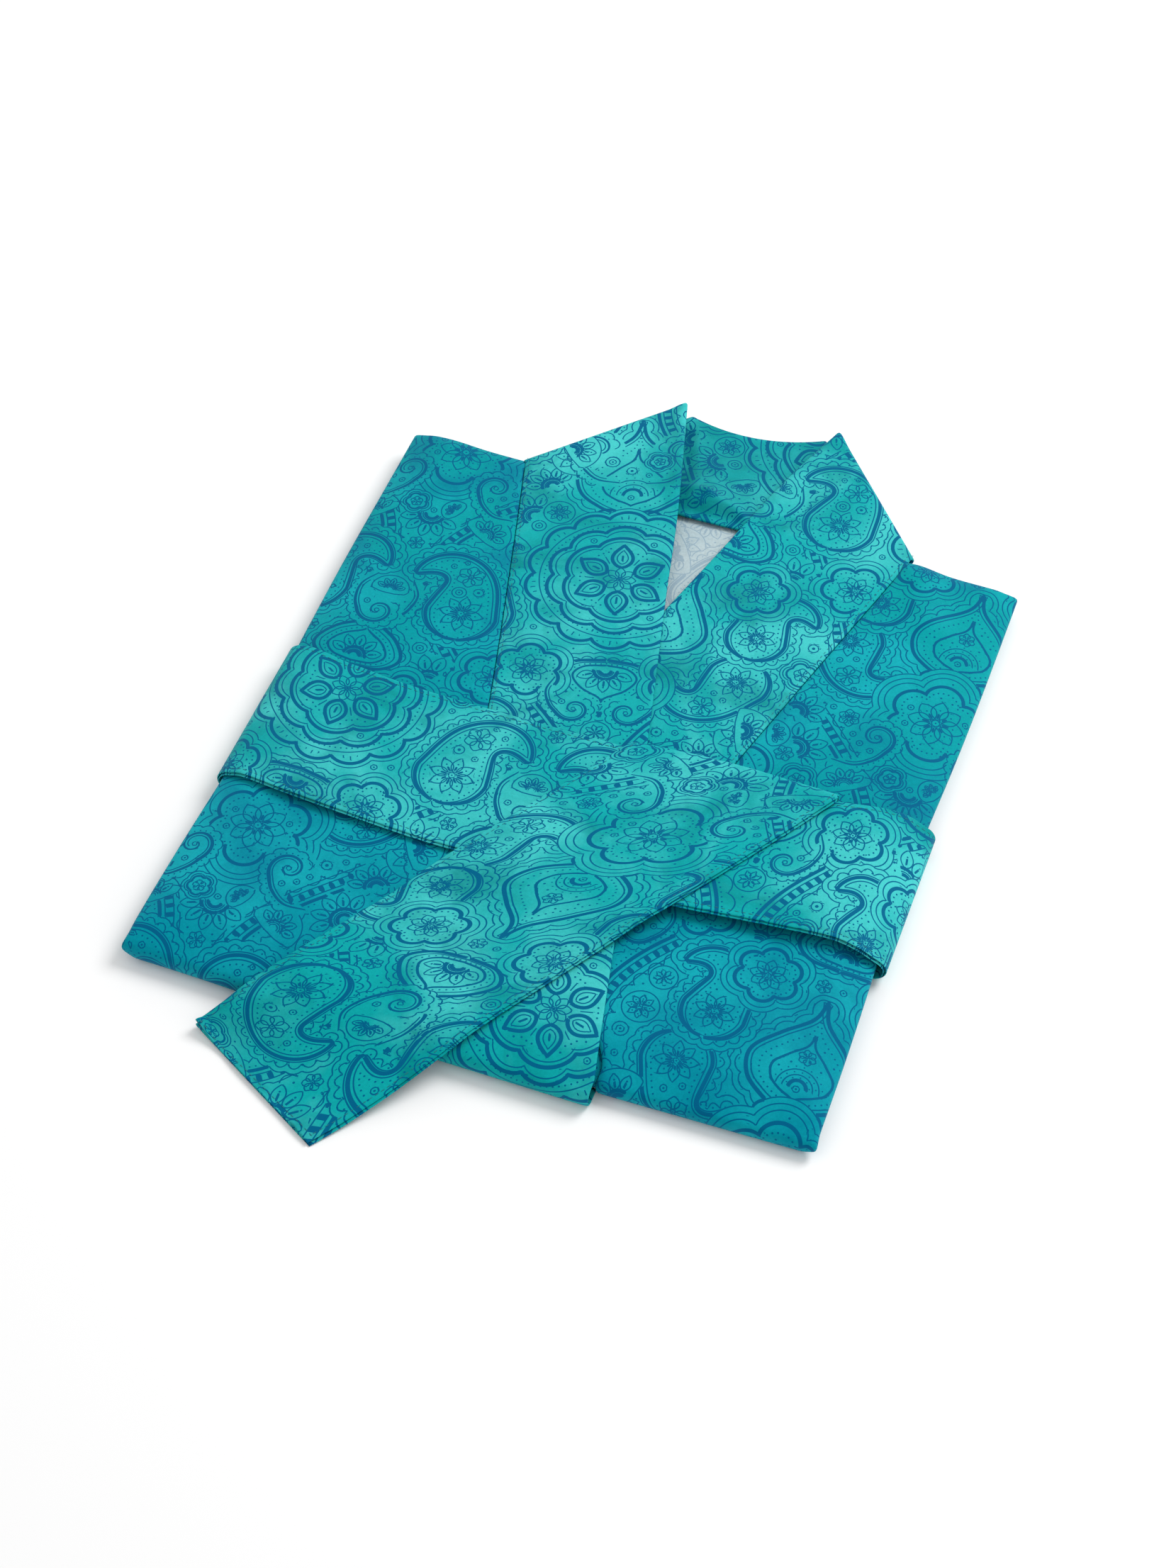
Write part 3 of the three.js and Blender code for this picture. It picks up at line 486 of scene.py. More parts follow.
def target(radius):
    return figure([(loop(radius), FINE)], [(0, 0.32 * radius)], loop(radius + 0.5))


def flower(count, radius, pointed=False, stamens=True):
    turns = np.arange(count) * 2 * math.pi / count + math.pi / 2
    width = 2 * radius * math.tan(math.pi / count) * (0.6 if pointed else 0.74)
    lines = [(leaf(polar(0.17 * radius, a), polar(radius, a), width, pointed), FINE) for a in turns]
    lines.append((loop(0.15 * radius), FINE))
    dots = []
    if stamens and radius > 5:
        for a in turns:
            thread = np.array([polar(0.22 * radius, a), polar(0.46 * radius, a)])
            lines.append((thread, MEDIUM if radius > 7 else FINE))
            dots.append((polar(0.62 * radius, a), 0.36))
    return figure(lines, dots + [(0, 0.36)], loop(radius))


def daisy(radius, count=6):
    def ring(share):
        return scalloped(loop(share * radius), 2 * math.pi * share * radius / count, 0.34 * share * radius)

    large = radius > 9
    lines = [(ring(0.76), BOLD if large else MEDIUM), (ring(0.94), FINE)]
    dots = dots_along(ring(0.62), 2, 0.38) if large else []
    return joined(figure(lines, dots, ring(0.94)), flower(8 if large else 5, 0.58 * radius))


def half_flower(radius):
    """A flower seen from the side: five petals over two bold arches, with threads between."""
    lines, dots = [], []
    for a in np.linspace(0.12, 0.88, 5) * math.pi:
        lines.append((leaf(polar(0.42 * radius, a), polar(radius, a), 0.375 * radius, 0), FINE))
        lines.append((np.array([polar(0.5 * radius, a), polar(0.72 * radius, a)]), MEDIUM))
        dots.append((polar(0.78 * radius, a), 0.38))
    outer, inner = (BOLD, BOLD) if radius > 9 else (MEDIUM, FINE)
    for share, weight in ((0.4, outer), (0.29, FINE), (0.2, inner)):
        lines.append((polar(share * radius, np.linspace(0, math.pi, 16)), weight))
    dots += [(polar(0.345 * radius, a), 0.26) for a in np.linspace(0.1, 0.9, 7) * math.pi]
    foot = [-0.4 * radius - 1j, 0.4 * radius - 1j]
    return figure(lines, dots, np.append(polar(1.02 * radius, np.linspace(0, math.pi, 20)), foot))


def volute(radius, turns=1.4):
    """A scroll that winds in from its foot at the origin, thick at first and thin at its eye."""
    t = np.linspace(0, 1, 60)
    spiral = polar(radius * (1 - 0.86 * t**0.8), math.pi - 2 * math.pi * turns * t)
    return spiral - spiral[0], BOLD * (1 - 0.6 * t)


def teardrop(length, inset):
    """The outline of a curved drop, moved inwards by inset mm."""
    body = 0.235 * length
    t = np.linspace(0, 1, 400)
    heading = np.radians(90 - 150 * smooth(0.3, 1.05, t) ** 1.2)
    spine = np.concatenate([[0], np.cumsum(np.exp(1j * heading[:-1]) * length / 399)])
    round_end = np.sqrt(np.clip(1 - (1 - t * length / body) ** 2, 0, 1))
    taper = np.clip(1 - (t - 0.235) / 0.765, 0, 1) ** 0.72
    half = body * np.where(t * length < body, round_end, taper) - inset
    kept = half > 0.02
    side = 1j * np.exp(1j * heading)
    right, left = (spine - side * half)[kept], (spine + side * half)[kept]
    return respaced(np.concatenate([left[:1], right, left[::-1]]), 0.5) - 1j * body


def boteh(length):
    body = 0.235 * length
    fringe = scalloped(teardrop(length, -1.5), 4.6, 2.7)
    outline, inner = teardrop(length, 0), teardrop(length, 1.8)
    row = teardrop(length, 3.6)
    parts = figure(
        [(fringe, FINE), (teardrop(length, -1.3), FINE), (outline, BOLD), (inner, FINE)],
        dots_along(teardrop(length, -2.7), 4.6, 0.36) + dots_along(row, 2.3, 0.36), fringe,
    )
    neck = 0.34 * length * 1j + 0.035 * length
    small_flower = moved(flower(6, 0.1 * length, stamens=False), neck)
    eye = moved(target(1.1), neck + 0.12 * length * (0.5 + 1j))
    return joined(parts, moved(flower(8, 0.66 * body, True), 0), small_flower, eye)


def onion(width, height):
    """A pointed bulb with scrolls at its foot and a dotted fan inside."""
    right = [
        (0, -0.1), (0.08, -0.06), (0.28, 0.02), (0.46, 0.16), (0.5, 0.38), (0.3, 0.6), (0.07, 0.8), (0, 1),
    ]
    half = through([complex(x * width, y * height) for x, y in right])
    outline = np.concatenate([half, -np.conj(half[::-1])])
    wide = scalloped(beside(half, 1.8), 7.5, 2)
    wide = np.concatenate([wide, -np.conj(wide[::-1])])
    spade = 0.55 * outline + 0.1j * height
    fan_at = 0.15j * height
    lines = [(outline, BOLD), (wide, FINE), (beside(outline, -1.8), FINE), (spade, MEDIUM)]
    dots = dots_along(outline * 0.76 + 0.06j * height, 2.2, 0.36)
    for radius, weight, count in ((0.07, BOLD, 5), (0.12, FINE, 7), (0.17, FINE, 9)):
        lines.append((fan_at + polar(radius * height, np.linspace(0, math.pi, 18)), weight))
        for a in np.linspace(0.1, 0.9, count) * math.pi:
            dots.append((fan_at + polar((radius + 0.025) * height, a), 0.3))
    scroll, weight = volute(0.17 * width)
    scroll = scroll * np.exp(-0.5j) + 0.05 * width
    lines += [(each - 0.06j * height, weight) for each in (scroll, -np.conj(scroll))]
    return figure(lines, dots, wide)


def mandala(radius):
    """Rings of scallops round six leaves and a flower."""
    def ring(share, depth, count):
        return scalloped(loop(share * radius), 2 * math.pi * share * radius / count, depth * radius)

    lines, dots = [(loop(0.97 * radius), FINE)], dots_along(loop(0.91 * radius), 2.2, 0.36)
    lines.append((ring(1.02, 0.12, 14), BOLD))
    for share, weight, count in ((0.79, BOLD, 10), (0.72, FINE, 10), (0.6, BOLD, 6), (0.54, FINE, 6)):
        lines.append((ring(share, 0.1, count), weight))
    for a in np.arange(14) * math.pi / 7 + math.pi / 14:
        for off in (-0.08, 0, 0.08):
            ray = np.array([polar(1.02 * radius, a + off), polar((1.08 - abs(off) / 3) * radius, a + off)])
            lines.append((ray, FINE))
    for k in range(6):
        a = k * math.pi / 3 + math.pi / 6
        lines += [
            (leaf(polar(0.2 * radius, a), polar(0.58 * radius, a), 0.26 * radius, 1), BOLD),
            (leaf(polar(0.26 * radius, a), polar(0.5 * radius, a), 0.14 * radius, 1), FINE),
            (np.array([polar(0.3 * radius, a), polar(0.4 * radius, a)]), MEDIUM),
            (np.array([polar(0.3 * radius, a + math.pi / 6), polar(0.42 * radius, a + math.pi / 6)]), FINE),
        ]
        dots += [(polar(0.48 * radius, a + math.pi / 6 + off), 0.4) for off in (-0.14, 0, 0.14)]
    heart = flower(8, 0.2 * radius, stamens=False)
    return figure(lines + heart["lines"], dots + [(0, 0.6)], ring(1.02, 0.12, 14))


def palmette(radius):
    """A pointed arch of scallops over a fan."""
    half = through([radius * spot for spot in (-0.1j, 0.62, 0.9 + 0.35j, 0.62 + 0.8j, 0.1 + 1.12j, 1.3j)])
    arch = np.concatenate([half, -np.conj(half[::-1])])
    outer = scalloped(arch, 5.2, 2)
    inside = 0.66 * arch + 0.1j * radius
    fan = moved(half_flower(0.55 * radius), 0.16j * radius)
    lines = [(outer, FINE), (arch, BOLD), (0.86 * arch + 0.04j * radius, FINE), (inside, MEDIUM)]
    return joined(figure(lines, dots_along(0.76 * arch + 0.07j * radius, 2.1, 0.34), outer), fan)


def scroll_leaf(radius):
    """A bold scroll with a scalloped back, on a tail that bends the other way."""
    curve, weight = volute(radius, 1.3)
    tail = through([spot * radius for spot in (1 - 2.6j, 0.15 - 1.9j, -0.12 - 0.9j, 0)])
    stem = np.concatenate([tail[:-1], curve])
    along = np.concatenate([BOLD * np.linspace(0.35, 1, len(tail) - 1), weight])
    back = scalloped(beside(stem[12:len(tail) + 26], -0.3 * radius)[::-1], 0.62 * radius, 0.2 * radius)
    head = radius + polar(1.3 * radius, np.linspace(math.pi, -0.75 * math.pi, 30))
    cover = np.concatenate([beside(tail, -0.3 * radius), head, tail[:1]])
    front = beside(stem[8:len(tail) + 34], 0.17 * radius)
    eye = loop(0.13 * radius, 0.98 * radius)
    return figure(
        [(stem, along), (back, FINE), (front, FINE), (eye, FINE)],
        dots_along(beside(stem[16:len(tail) + 22], -0.15 * radius), 2.2, 0.34), cover[::-1],
    )


def ladder(path):
    """A waving band: two lines with blocks between, and a bold one beside it."""
    beams = ((-1.6, FINE), (1.6, FINE), (3.6, BOLD), (-3.8, FINE))
    lines = [(beside(path, off), weight) for off, weight in beams]
    spots = respaced(path, 4)
    ways = np.gradient(spots) / np.abs(np.gradient(spots))
    lines += [(np.array([spot - 1.5j * way, spot + 1.5j * way]), BLOCK) for spot, way in zip(spots, ways)]
    lines.append((scalloped(beside(path, -6)[::-1], 7, -3.2), FINE))
    lines.append((scalloped(beside(path, 7.2), 9, 2.8), FINE))
    dots = dots_along(path, 2.3, 0.36, 5.4) + dots_along(path, 7, 0.42, -4.8)
    return figure(lines, dots, np.concatenate([beside(path, 10), beside(path, -9)[::-1]]))


def repeat_plan():
    """Every figure of one repeat, in the order they are drawn, the later over the earlier."""
    y = np.linspace(0, 212, 240)
    wave = np.cos(2 * math.pi * y / 212)
    plan = [ladder(42 + 33 * wave + 1j * y), ladder((127 - 33 * wave + 1j * y)[::-1])]
    wide_field, narrow_field = 85, 170  # the middles between the ladders

    def both(art, x, y_at, angle=0.0, middle=wide_field):
        plan.append(moved(art, complex(middle + x, y_at), angle))
        plan.append(moved(art, complex(middle - x, y_at), -angle, 1, True))

    both(scroll_leaf(9), 55, 24, 150)
    both(scroll_leaf(8), 26, 172, 20)
    both(half_flower(13), 38, 140, -60)
    plan.append(moved(echoed(onion(46, 54)), wide_field + 147j))
    plan.append(moved(echoed(mandala(33)), wide_field + 108j))
    both(echoed(boteh(60)), 54, 84, -4)
    plan.append(moved(echoed(palmette(21)), wide_field + 62j, 180))
    both(echoed(daisy(13)), 30, 56)
    both(half_flower(11), 33, 158, -30)
    both(scroll_leaf(7), 16, 34, 150)
    both(echoed(flower(8, 9, True), 1.6), 25, 176)
    both(echoed(half_flower(9), 1.6), 61, 128, 30)
    both(scroll_leaf(9), 60, -34, 30, narrow_field)
    both(half_flower(14), 32, 46, 60, narrow_field)
    plan.append(moved(echoed(onion(40, 46)), narrow_field - 16j))
    both(echoed(boteh(54)), 43, -12, 172, narrow_field)
    both(echoed(boteh(50)), 37, 12, 12, narrow_field)
    plan.append(moved(echoed(echoed(daisy(19), 2.4), 2.4), narrow_field - 42j))
    plan.append(moved(echoed(palmette(20)), narrow_field + 46j))
    both(echoed(daisy(12)), 24, 34, 0, narrow_field)
    both(scroll_leaf(8), 13, -62, 40, narrow_field)
    both(half_flower(13), 0, -80, 180, narrow_field)
    both(scroll_leaf(8), 8, 72, 160, narrow_field)
    both(echoed(half_flower(10), 1.6), 58, -32, -60, narrow_field)
    return [moved(art, 0, 0, LARGER) for art in plan]


def inside_of(cover, spots):
    """Which spots lie inside a closed outline."""
    a, b = cover, np.roll(cover, -1)
    crosses = (a.imag[None, :] > spots.imag[:, None]) != (b.imag[None, :] > spots.imag[:, None])
    rise = np.where(b.imag == a.imag, 1e-9, b.imag - a.imag)
    at_x = a.real + (spots.imag[:, None] - a.imag) * (b.real - a.real) / rise
    return (crosses & (spots.real[:, None] < at_x)).sum(axis=1) % 2 == 1


def filler(free, count):
    """What fills a round place with free mm to its edge, and the radius that it takes up."""
    kind = count % 3
    if free > 6:
        flowers = (half_flower(0.8 * free), flower(8, 0.7 * free, True), daisy(0.8 * free, 5))
        return echoed(flowers[kind], (1.5, 1.6, 1.4)[kind]), 0.95 * free
    if free > 4.2:
        return (target(2.4), flower(6, 0.84 * free), echoed(target(1.7), 1.2))[kind], 0.9 * free
    if free > 3.1:
        return target(1.5), 2.4
    return figure([], [(0, 0.5)], loop(0.6)), 1.6


def fillers(plan):
    """Small flowers, rings and dots in the empty places of a plan, the emptiest place first."""
    strokes, dots = drawn(plan)
    taken = tree_of(np.concatenate([table["at"][table["shown"]] for table in strokes] + [dots[:, 0]]))
    x, y = np.meshgrid(np.arange(0.7, REPEAT[0], 1.4), np.arange(0.7, REPEAT[1], 1.4))
    grid = (x + 1j * y).ravel()
    room = np.array([taken.find((spot.real, spot.imag, 0))[2] for spot in grid])
    added = []
    while room.max() > 2.5:
        k = int(room.argmax())
        art, radius = filler(room[k], len(added))
        away = np.minimum.reduce([np.abs(grid - grid[k] - shift) for shift in NEIGHBOURS])
        added.append(moved(art, grid[k], 47 * len(added)))
        room = np.minimum(room, away - radius)
    return added


def within(spots, low, high):
    """Which spots lie between two corners of a box."""
    after_low = (spots.real > low.real) & (spots.imag > low.imag)
    return after_low & (spots.real < high.real) & (spots.imag < high.imag)


def drawn(plan):
    """The strokes' samples and the dots of the repeat and its border, with what is covered left out."""
    low, high = complex(-BORDER, -BORDER), complex(REPEAT[0] + BORDER, REPEAT[1] + BORDER)
    strokes, dots = [], np.zeros((0, 2), complex)
    for art in plan:
        for shift in NEIGHBOURS:
            cover = art["cover"] + shift
            first = complex(cover.real.min(), cover.imag.min())
            last = complex(cover.real.max(), cover.imag.max())
            if min((last - low).real, (last - low).imag, (high - first).real, (high - first).imag) < 0:
                continue
            for table in strokes:
                index = np.flatnonzero(within(table["at"], first, last) & table["shown"])
                if len(index):
                    table["shown"][index[inside_of(cover, table["at"][index])]] = False
            dots = dots[~inside_of(cover, dots[:, 0])]
        for shift in NEIGHBOURS:
            for path, weight in art["lines"]:
                even = respaced(np.asarray(path, complex) + shift, SAMPLE)
                shown = within(even, low, high)
                if shown.any():
                    along, given = np.linspace(0, 1, len(even)), np.linspace(0, 1, np.size(weight))
                    weights = np.interp(along, given, np.atleast_1d(weight))
                    strokes.append({"at": even, "weight": weights, "shown": shown, "stroke": len(strokes)})
            if art["dots"]:
                new = np.array([(spot + shift, radius) for spot, radius in art["dots"]], complex)
                dots = np.concatenate([dots, new[within(new[:, 0], low, high)]])
    return strokes, dots


def tree_of(spots):
    """A tree that finds the nearest of many spots."""
    tree = KDTree(len(spots))
    for k, spot in enumerate(spots):
        tree.insert((spot.real, spot.imag, 0), k)
    tree.balance()
    return tree


STROKES_KNOWN, DOTS_KNOWN = 3, 2  # by each quad of the cloth
CELL = 0.65  # mm
SAMPLES_TRIED, STROKE_REACH = 22, 3
OWN_STRETCH = 3.2  # mm along a stroke, past which it may count again


def print_index():
    """For every cell of the repeat the samples of its nearest strokes, and its two nearest dots."""
    plan = repeat_plan()
    strokes, dots = drawn(plan + fillers(plan))
    fields = {key: [] for key in ("at", "tangent", "bend", "weight", "end", "way", "stroke")}
    for table in strokes:
        path, shown = table["at"], table["shown"]
        tangent = np.gradient(path) / SAMPLE
        tangent /= np.maximum(np.abs(tangent), 1e-9)
        turning = np.angle(tangent[1:] / tangent[:-1]) / np.maximum(np.abs(np.diff(path)), 0.2)
        bend = np.clip(np.convolve(np.pad(turning, 1, mode="edge"), [0.5, 0.5], "valid"), -1.4, 1.4)
        end = np.append(False, shown[:-1]) * 1 - np.append(shown[1:], False) * 1
        way, stroke = np.arange(len(path)) * SAMPLE, np.full(len(path), table["stroke"])
        values = (path, tangent, bend, table["weight"], end, way, stroke)
        for key, value in zip(fields, values):
            fields[key].append(value[shown])
    samples = {key: np.concatenate(value) for key, value in fields.items()}
    tree, dot_tree = tree_of(samples["at"]), tree_of(dots[:, 0])
    cells = (int(REPEAT[0] / CELL) + 1, int(REPEAT[1] / CELL) + 1)
    nearest, dot_nearest = np.zeros((*cells, STROKES_KNOWN), int), np.zeros((*cells, DOTS_KNOWN), int)
    stroke, way = samples["stroke"], samples["way"]
    for i, j in np.ndindex(*cells):
        spot = ((i + 0.5) * CELL, (j + 0.5) * CELL, 0)
        found = []
        for _, k, distance in tree.find_n(spot, SAMPLES_TRIED):
            if all(stroke[k] != stroke[m] or abs(way[k] - way[m]) > OWN_STRETCH for m in found):
                found.append(k)
                if len(found) == STROKES_KNOWN or distance > STROKE_REACH:
                    break
        nearest[i, j] = (found * STROKES_KNOWN)[:STROKES_KNOWN]
        dot_nearest[i, j] = [k for _, k, _ in dot_tree.find_n(spot, DOTS_KNOWN)]
    return samples, dots, nearest, dot_nearest


print_samples, print_dots, nearest_strokes, nearest_dots = print_index()


def print_on(piece, angle, shift):
    """Gives every corner of a piece its distances from the print's nearest strokes and dots, in mm."""
    uv = np.empty(len(piece.data.loops) * 2)
    piece.data.uv_layers[0].data.foreach_get("uv", uv)
    place = (uv[0::2] + 1j * uv[1::2]) / MM * np.exp(1j * math.radians(angle)) + complex(*shift)
    corners = place.reshape(-1, 4)
    middle = corners.mean(axis=1)
    home = np.mod(middle.real, REPEAT[0]) + 1j * np.mod(middle.imag, REPEAT[1])
    corners = corners - middle[:, None] + home[:, None]
    cell = ((home.real / CELL).astype(int), (home.imag / CELL).astype(int))
    found = nearest_strokes[cell][:, None, :]
    part = {key: print_samples[key][found] for key in ("at", "tangent", "bend", "weight", "end")}
    local = (corners[..., None] - part["at"]) * np.conj(part["tangent"])
    ahead = part["end"] * local.real
    weight = np.broadcast_to(part["weight"], local.shape)
    side = np.where(local.imag.mean(axis=1, keepdims=True) < 0, -1, 1)
    past_end = side * np.maximum(np.abs(local.imag), ahead + weight)
    off = np.where(ahead > 0, past_end, local.imag - part["bend"] * local.real**2 / 2)
    values = {"print_off": off, "print_half": weight}
    for k in range(DOTS_KNOWN):
        dot = print_dots[nearest_dots[cell][:, k]]
        offset = corners - dot[:, :1]
        values[f"print_dot_{k}"] = points_of(offset.real, offset.imag, dot[:, 1:].real)
    for name, value in values.items():
        layer = piece.data.attributes.new(name, "FLOAT_VECTOR", "CORNER")
        layer.data.foreach_set("vector", np.clip(value, -9, 9).astype(np.float32).ravel())


def linear(rgb):
    return (*[((c / 255 + 0.055) / 1.055) ** 2.4 for c in rgb], 1)


def wire(tree, kind, inputs, **settings):
    """A node with its settings, its inputs set or linked, in its tree."""
    node = tree.nodes.new(kind)
    for key, value in settings.items():
        setattr(node, key, value)
    for key, value in inputs.items():
        if isinstance(value, bpy.types.NodeSocket):
            tree.links.new(value, node.inputs[key])
        else:
            node.inputs[key].default_value = value
    return node


def worked(tree, operation, *values, kind="ShaderNodeMath"):
    """What a sum gives, on numbers or on vectors."""
    return wire(tree, kind, dict(enumerate(values)), operation=operation).outputs[0]


def ramp(tree, value, low, high, to_low=0.0, to_high=1.0, way="SMOOTHSTEP"):
    ends = {"From Min": low, "From Max": high, "To Min": to_low, "To Max": to_high}
    return wire(tree, "ShaderNodeMapRange", {"Value": value, **ends}, interpolation_type=way).outputs[0]


def blend(tree, share, first, second):
    return wire(tree, "ShaderNodeMix", {0: share, 6: first, 7: second}, data_type="RGBA").outputs[2]


def speckle(tree, place, scale, detail, roughness, distortion=0.0):
    look = {"Scale": scale, "Detail": detail, "Roughness": roughness, "Distortion": distortion}
    return wire(tree, "ShaderNodeTexNoise", {"Vector": place, **look}).outputs[0]


LINE_SOFTNESS = 0.075  # mm
DYED_ALONG = (-0.17, 0.16)  # m, from near the hem to near the shoulders


def line_art_group():
    """1 on the printed strokes and dots, 0 on the ground of the cloth."""
    tree = bpy.data.node_groups.new("line_art", "ShaderNodeTree")
    tree.interface.new_socket("Mask", in_out="OUTPUT", socket_type="NodeSocketFloat")
    vectors = "ShaderNodeVectorMath"

    def kept(name):
        return wire(tree, "ShaderNodeAttribute", {}, attribute_name=name).outputs["Vector"]

    away = worked(tree, "ABSOLUTE", kept("print_off"), kind=vectors)
    inside = worked(tree, "SUBTRACT", kept("print_half"), away, kind=vectors)
    depths = list(wire(tree, "ShaderNodeSeparateXYZ", {0: inside}).outputs)
    for k in range(DOTS_KNOWN):
        x, y, radius = wire(tree, "ShaderNodeSeparateXYZ", {0: kept(f"print_dot_{k}")}).outputs
        flat = wire(tree, "ShaderNodeCombineXYZ", {0: x, 1: y}).outputs[0]
        far = wire(tree, vectors, {0: flat}, operation="LENGTH").outputs["Value"]
        depths.append(worked(tree, "SUBTRACT", radius, far))
    best = depths[0]
    for depth in depths[1:]:
        best = worked(tree, "MAXIMUM", best, depth)
    result = tree.nodes.new("NodeGroupOutput")
    tree.links.new(ramp(tree, best, -LINE_SOFTNESS, LINE_SOFTNESS), result.inputs["Mask"])
    return tree


line_art = line_art_group()


def group_of(name, inputs, outputs):
    """An empty shader group, with its inputs (a place on the cloth and numbers) and outputs."""
    tree = bpy.data.node_groups.new(name, "ShaderNodeTree")
    tree.interface.new_socket("Place", in_out="INPUT", socket_type="NodeSocketVector")
    for each in inputs:
        tree.interface.new_socket(each, in_out="INPUT", socket_type="NodeSocketFloat")
    for each in outputs:
        tree.interface.new_socket(each, in_out="OUTPUT", socket_type="NodeSocketFloat")
    return tree, tree.nodes.new("NodeGroupInput").outputs, tree.nodes.new("NodeGroupOutput").inputs


def cloud_group():
    """Cloudy patches of dye: 1 in a patch, fading to 0 between Low and High of the noise."""
    tree, given, result = group_of("dye_clouds", ("Scale", "Low", "High", "Share"), ("Mask",))
    start = wire(tree, "ShaderNodeCombineXYZ", {0: given["Scale"], 2: 0.3}).outputs[0]
    away = wire(tree, "ShaderNodeMapping", {"Vector": given["Place"], "Location": start}).outputs[0]
    noise = speckle(tree, away, given["Scale"], 4, 0.55, 0.6)
    tree.links.new(ramp(tree, noise, given["Low"], given["High"], 0, given["Share"]), result["Mask"])
    return tree


def nap_group():
    """The brushed face of the cloth: how its fibres shade the dye, and how high its nap and puckers stand."""
    tree, given, result = group_of("brushed_nap", ("Fibres", "Nap", "Puckers"), ("Shade", "Height"))
    fibres = speckle(tree, given["Place"], given["Fibres"], 2, 0.6)
    tree.links.new(ramp(tree, fibres, 0.3, 0.7, 0.93, 1.07, "LINEAR"), result["Shade"])
    nap = speckle(tree, given["Place"], given["Nap"], 2, 0.6)
    pucker = speckle(tree, given["Place"], given["Puckers"], 2, 0.5)
    tree.links.new(worked(tree, "MULTIPLY_ADD", pucker, 4.0, nap), result["Height"])
    return tree


dye_clouds, brushed_nap = cloud_group(), nap_group()


def printed_cloth(
    name, hem, shoulder, patch, light, line,
    patch_share=0.8, line_share=1.0, sheen=0.15, glow=(0, 190, 205),
):
    """Brushed microfibre, dyed from one colour at the hem to another at the shoulders, with patches."""
    material = bpy.data.materials.new(name)
    material.use_nodes = True
    tree = material.node_tree
    shader = tree.nodes["Principled BSDF"]
    place = wire(tree, "ShaderNodeTexCoord", {}).outputs["Object"]
    height = wire(tree, "ShaderNodeSeparateXYZ", {0: place}).outputs[1]
    dyed = blend(tree, ramp(tree, height, *DYED_ALONG), linear(hem), linear(shoulder))
    for low, high, scale, dye in ((0.4, 0.66, 15, light), (0.46, 0.72, 24, patch)):
        cover = {"Place": place, "Scale": scale, "Low": low, "High": high, "Share": patch_share}
        cloud = wire(tree, "ShaderNodeGroup", cover, node_tree=dye_clouds).outputs["Mask"]
        dyed = blend(tree, cloud, dyed, linear(dye))
    scales = {"Place": place, "Fibres": 900, "Nap": 1500, "Puckers": 70}
    shade, uneven = wire(tree, "ShaderNodeGroup", scales, node_tree=brushed_nap).outputs
    heather = wire(tree, "ShaderNodeVectorMath", {0: dyed, "Scale": shade}, operation="SCALE").outputs[0]
    art = wire(tree, "ShaderNodeGroup", {}, node_tree=line_art).outputs["Mask"]
    colour = blend(tree, worked(tree, "MULTIPLY", art, line_share), heather, linear(line))
    tree.links.new(colour, shader.inputs["Base Color"])
    bump = wire(tree, "ShaderNodeBump", {"Height": uneven, "Strength": 0.35, "Distance": 0.00012})
    tree.links.new(bump.outputs[0], shader.inputs["Normal"])
    values = {
        "Roughness": 0.62, "Specular IOR Level": 0.2, "Specular Tint": linear(glow),
        "Sheen Weight": sheen, "Sheen Roughness": 0.45, "Sheen Tint": linear(glow),
    }
    for socket, value in values.items():
        shader.inputs[socket].default_value = value
    return material


def finish_cloth(piece, material, grain, cut_at):
    """Gives a piece its cloth. grain is the turn of its grain in degrees, cut_at its place on the repeat."""
    piece.data.materials.append(material)
    print_on(piece, grain, cut_at)


robe_cloth = printed_cloth(
    "robe_microfibre", hem=(0, 140, 158), shoulder=(0, 150, 154),
    patch=(0, 118, 144), light=(20, 166, 178), line=(0, 92, 132),
)


SLACK = 0.4  # the hidden layers lie this much lower than the fronts allow
FOLDS_DOWN = [1, 0.74, 0.5, 0.26, 0]  # grooves between the folds at the sides, as shares of the height
FOLD_PEAKS, FOLD_DEPTH = [0.2, -0.7, 0.1, -1.1], 1.7
FOLD_STEPS = 7
BED = {"from": 0.245, "to": 0.562, "depth": SASH_WALL + GAP}
UNDERSIDE_INSET, NO_INSET = (7.5, 15, 7.5), (CORNER, CORNER, CORNER)  # side, hem, shoulder
LAYER_RINGS = len(FOLD_PEAKS) * FOLD_STEPS + 2
FLAT_STATIONS = 104
HEM_CORNER = 18.5  # mm from the hem in which the side turns into it

ring_share = np.concatenate([
    np.linspace(0, 1 / TURNS, 5)[1:],
    np.linspace(1 / TURNS, 1, LAYER_RINGS - 3)[1:],
])
layer_turns = np.concatenate([-ring_share[::-1], np.zeros(FLAT_STATIONS), ring_share])
ring_numbers = np.arange(1, LAYER_RINGS + 1)
layer_rings = np.concatenate([ring_numbers[::-1], np.zeros(FLAT_STATIONS, int), ring_numbers])
layer_at = np.concatenate([np.zeros(LAYER_RINGS), np.linspace(0, 1, FLAT_STATIONS), np.ones(LAYER_RINGS)])


def layer_place(inset):
    """Where the packet's rows and columns cross, in plan."""
    at_y, at_x = layer_at[:, None], layer_at[None, :]

    def across(y):
        side = side_inner(y) - inset[0]
        return mix(-side, side, at_x)

    guess = across(mix(-HEM["left"], SHOULDER["reach"], at_y))
    hem = hem_inner(guess, lap_level(guess, -HEM["left"])) - inset[1]
    y = mix(-hem, shoulder_inner(guess) - inset[2], at_y)
    return across(y), y


turn_across, turn_along = layer_turns[None, :], layer_turns[:, None]
plan_x, plan_y = layer_place(NO_INSET)
layers_top = lie(CORE, plan_x, plan_y, turn_across, turn_along, -SLACK)

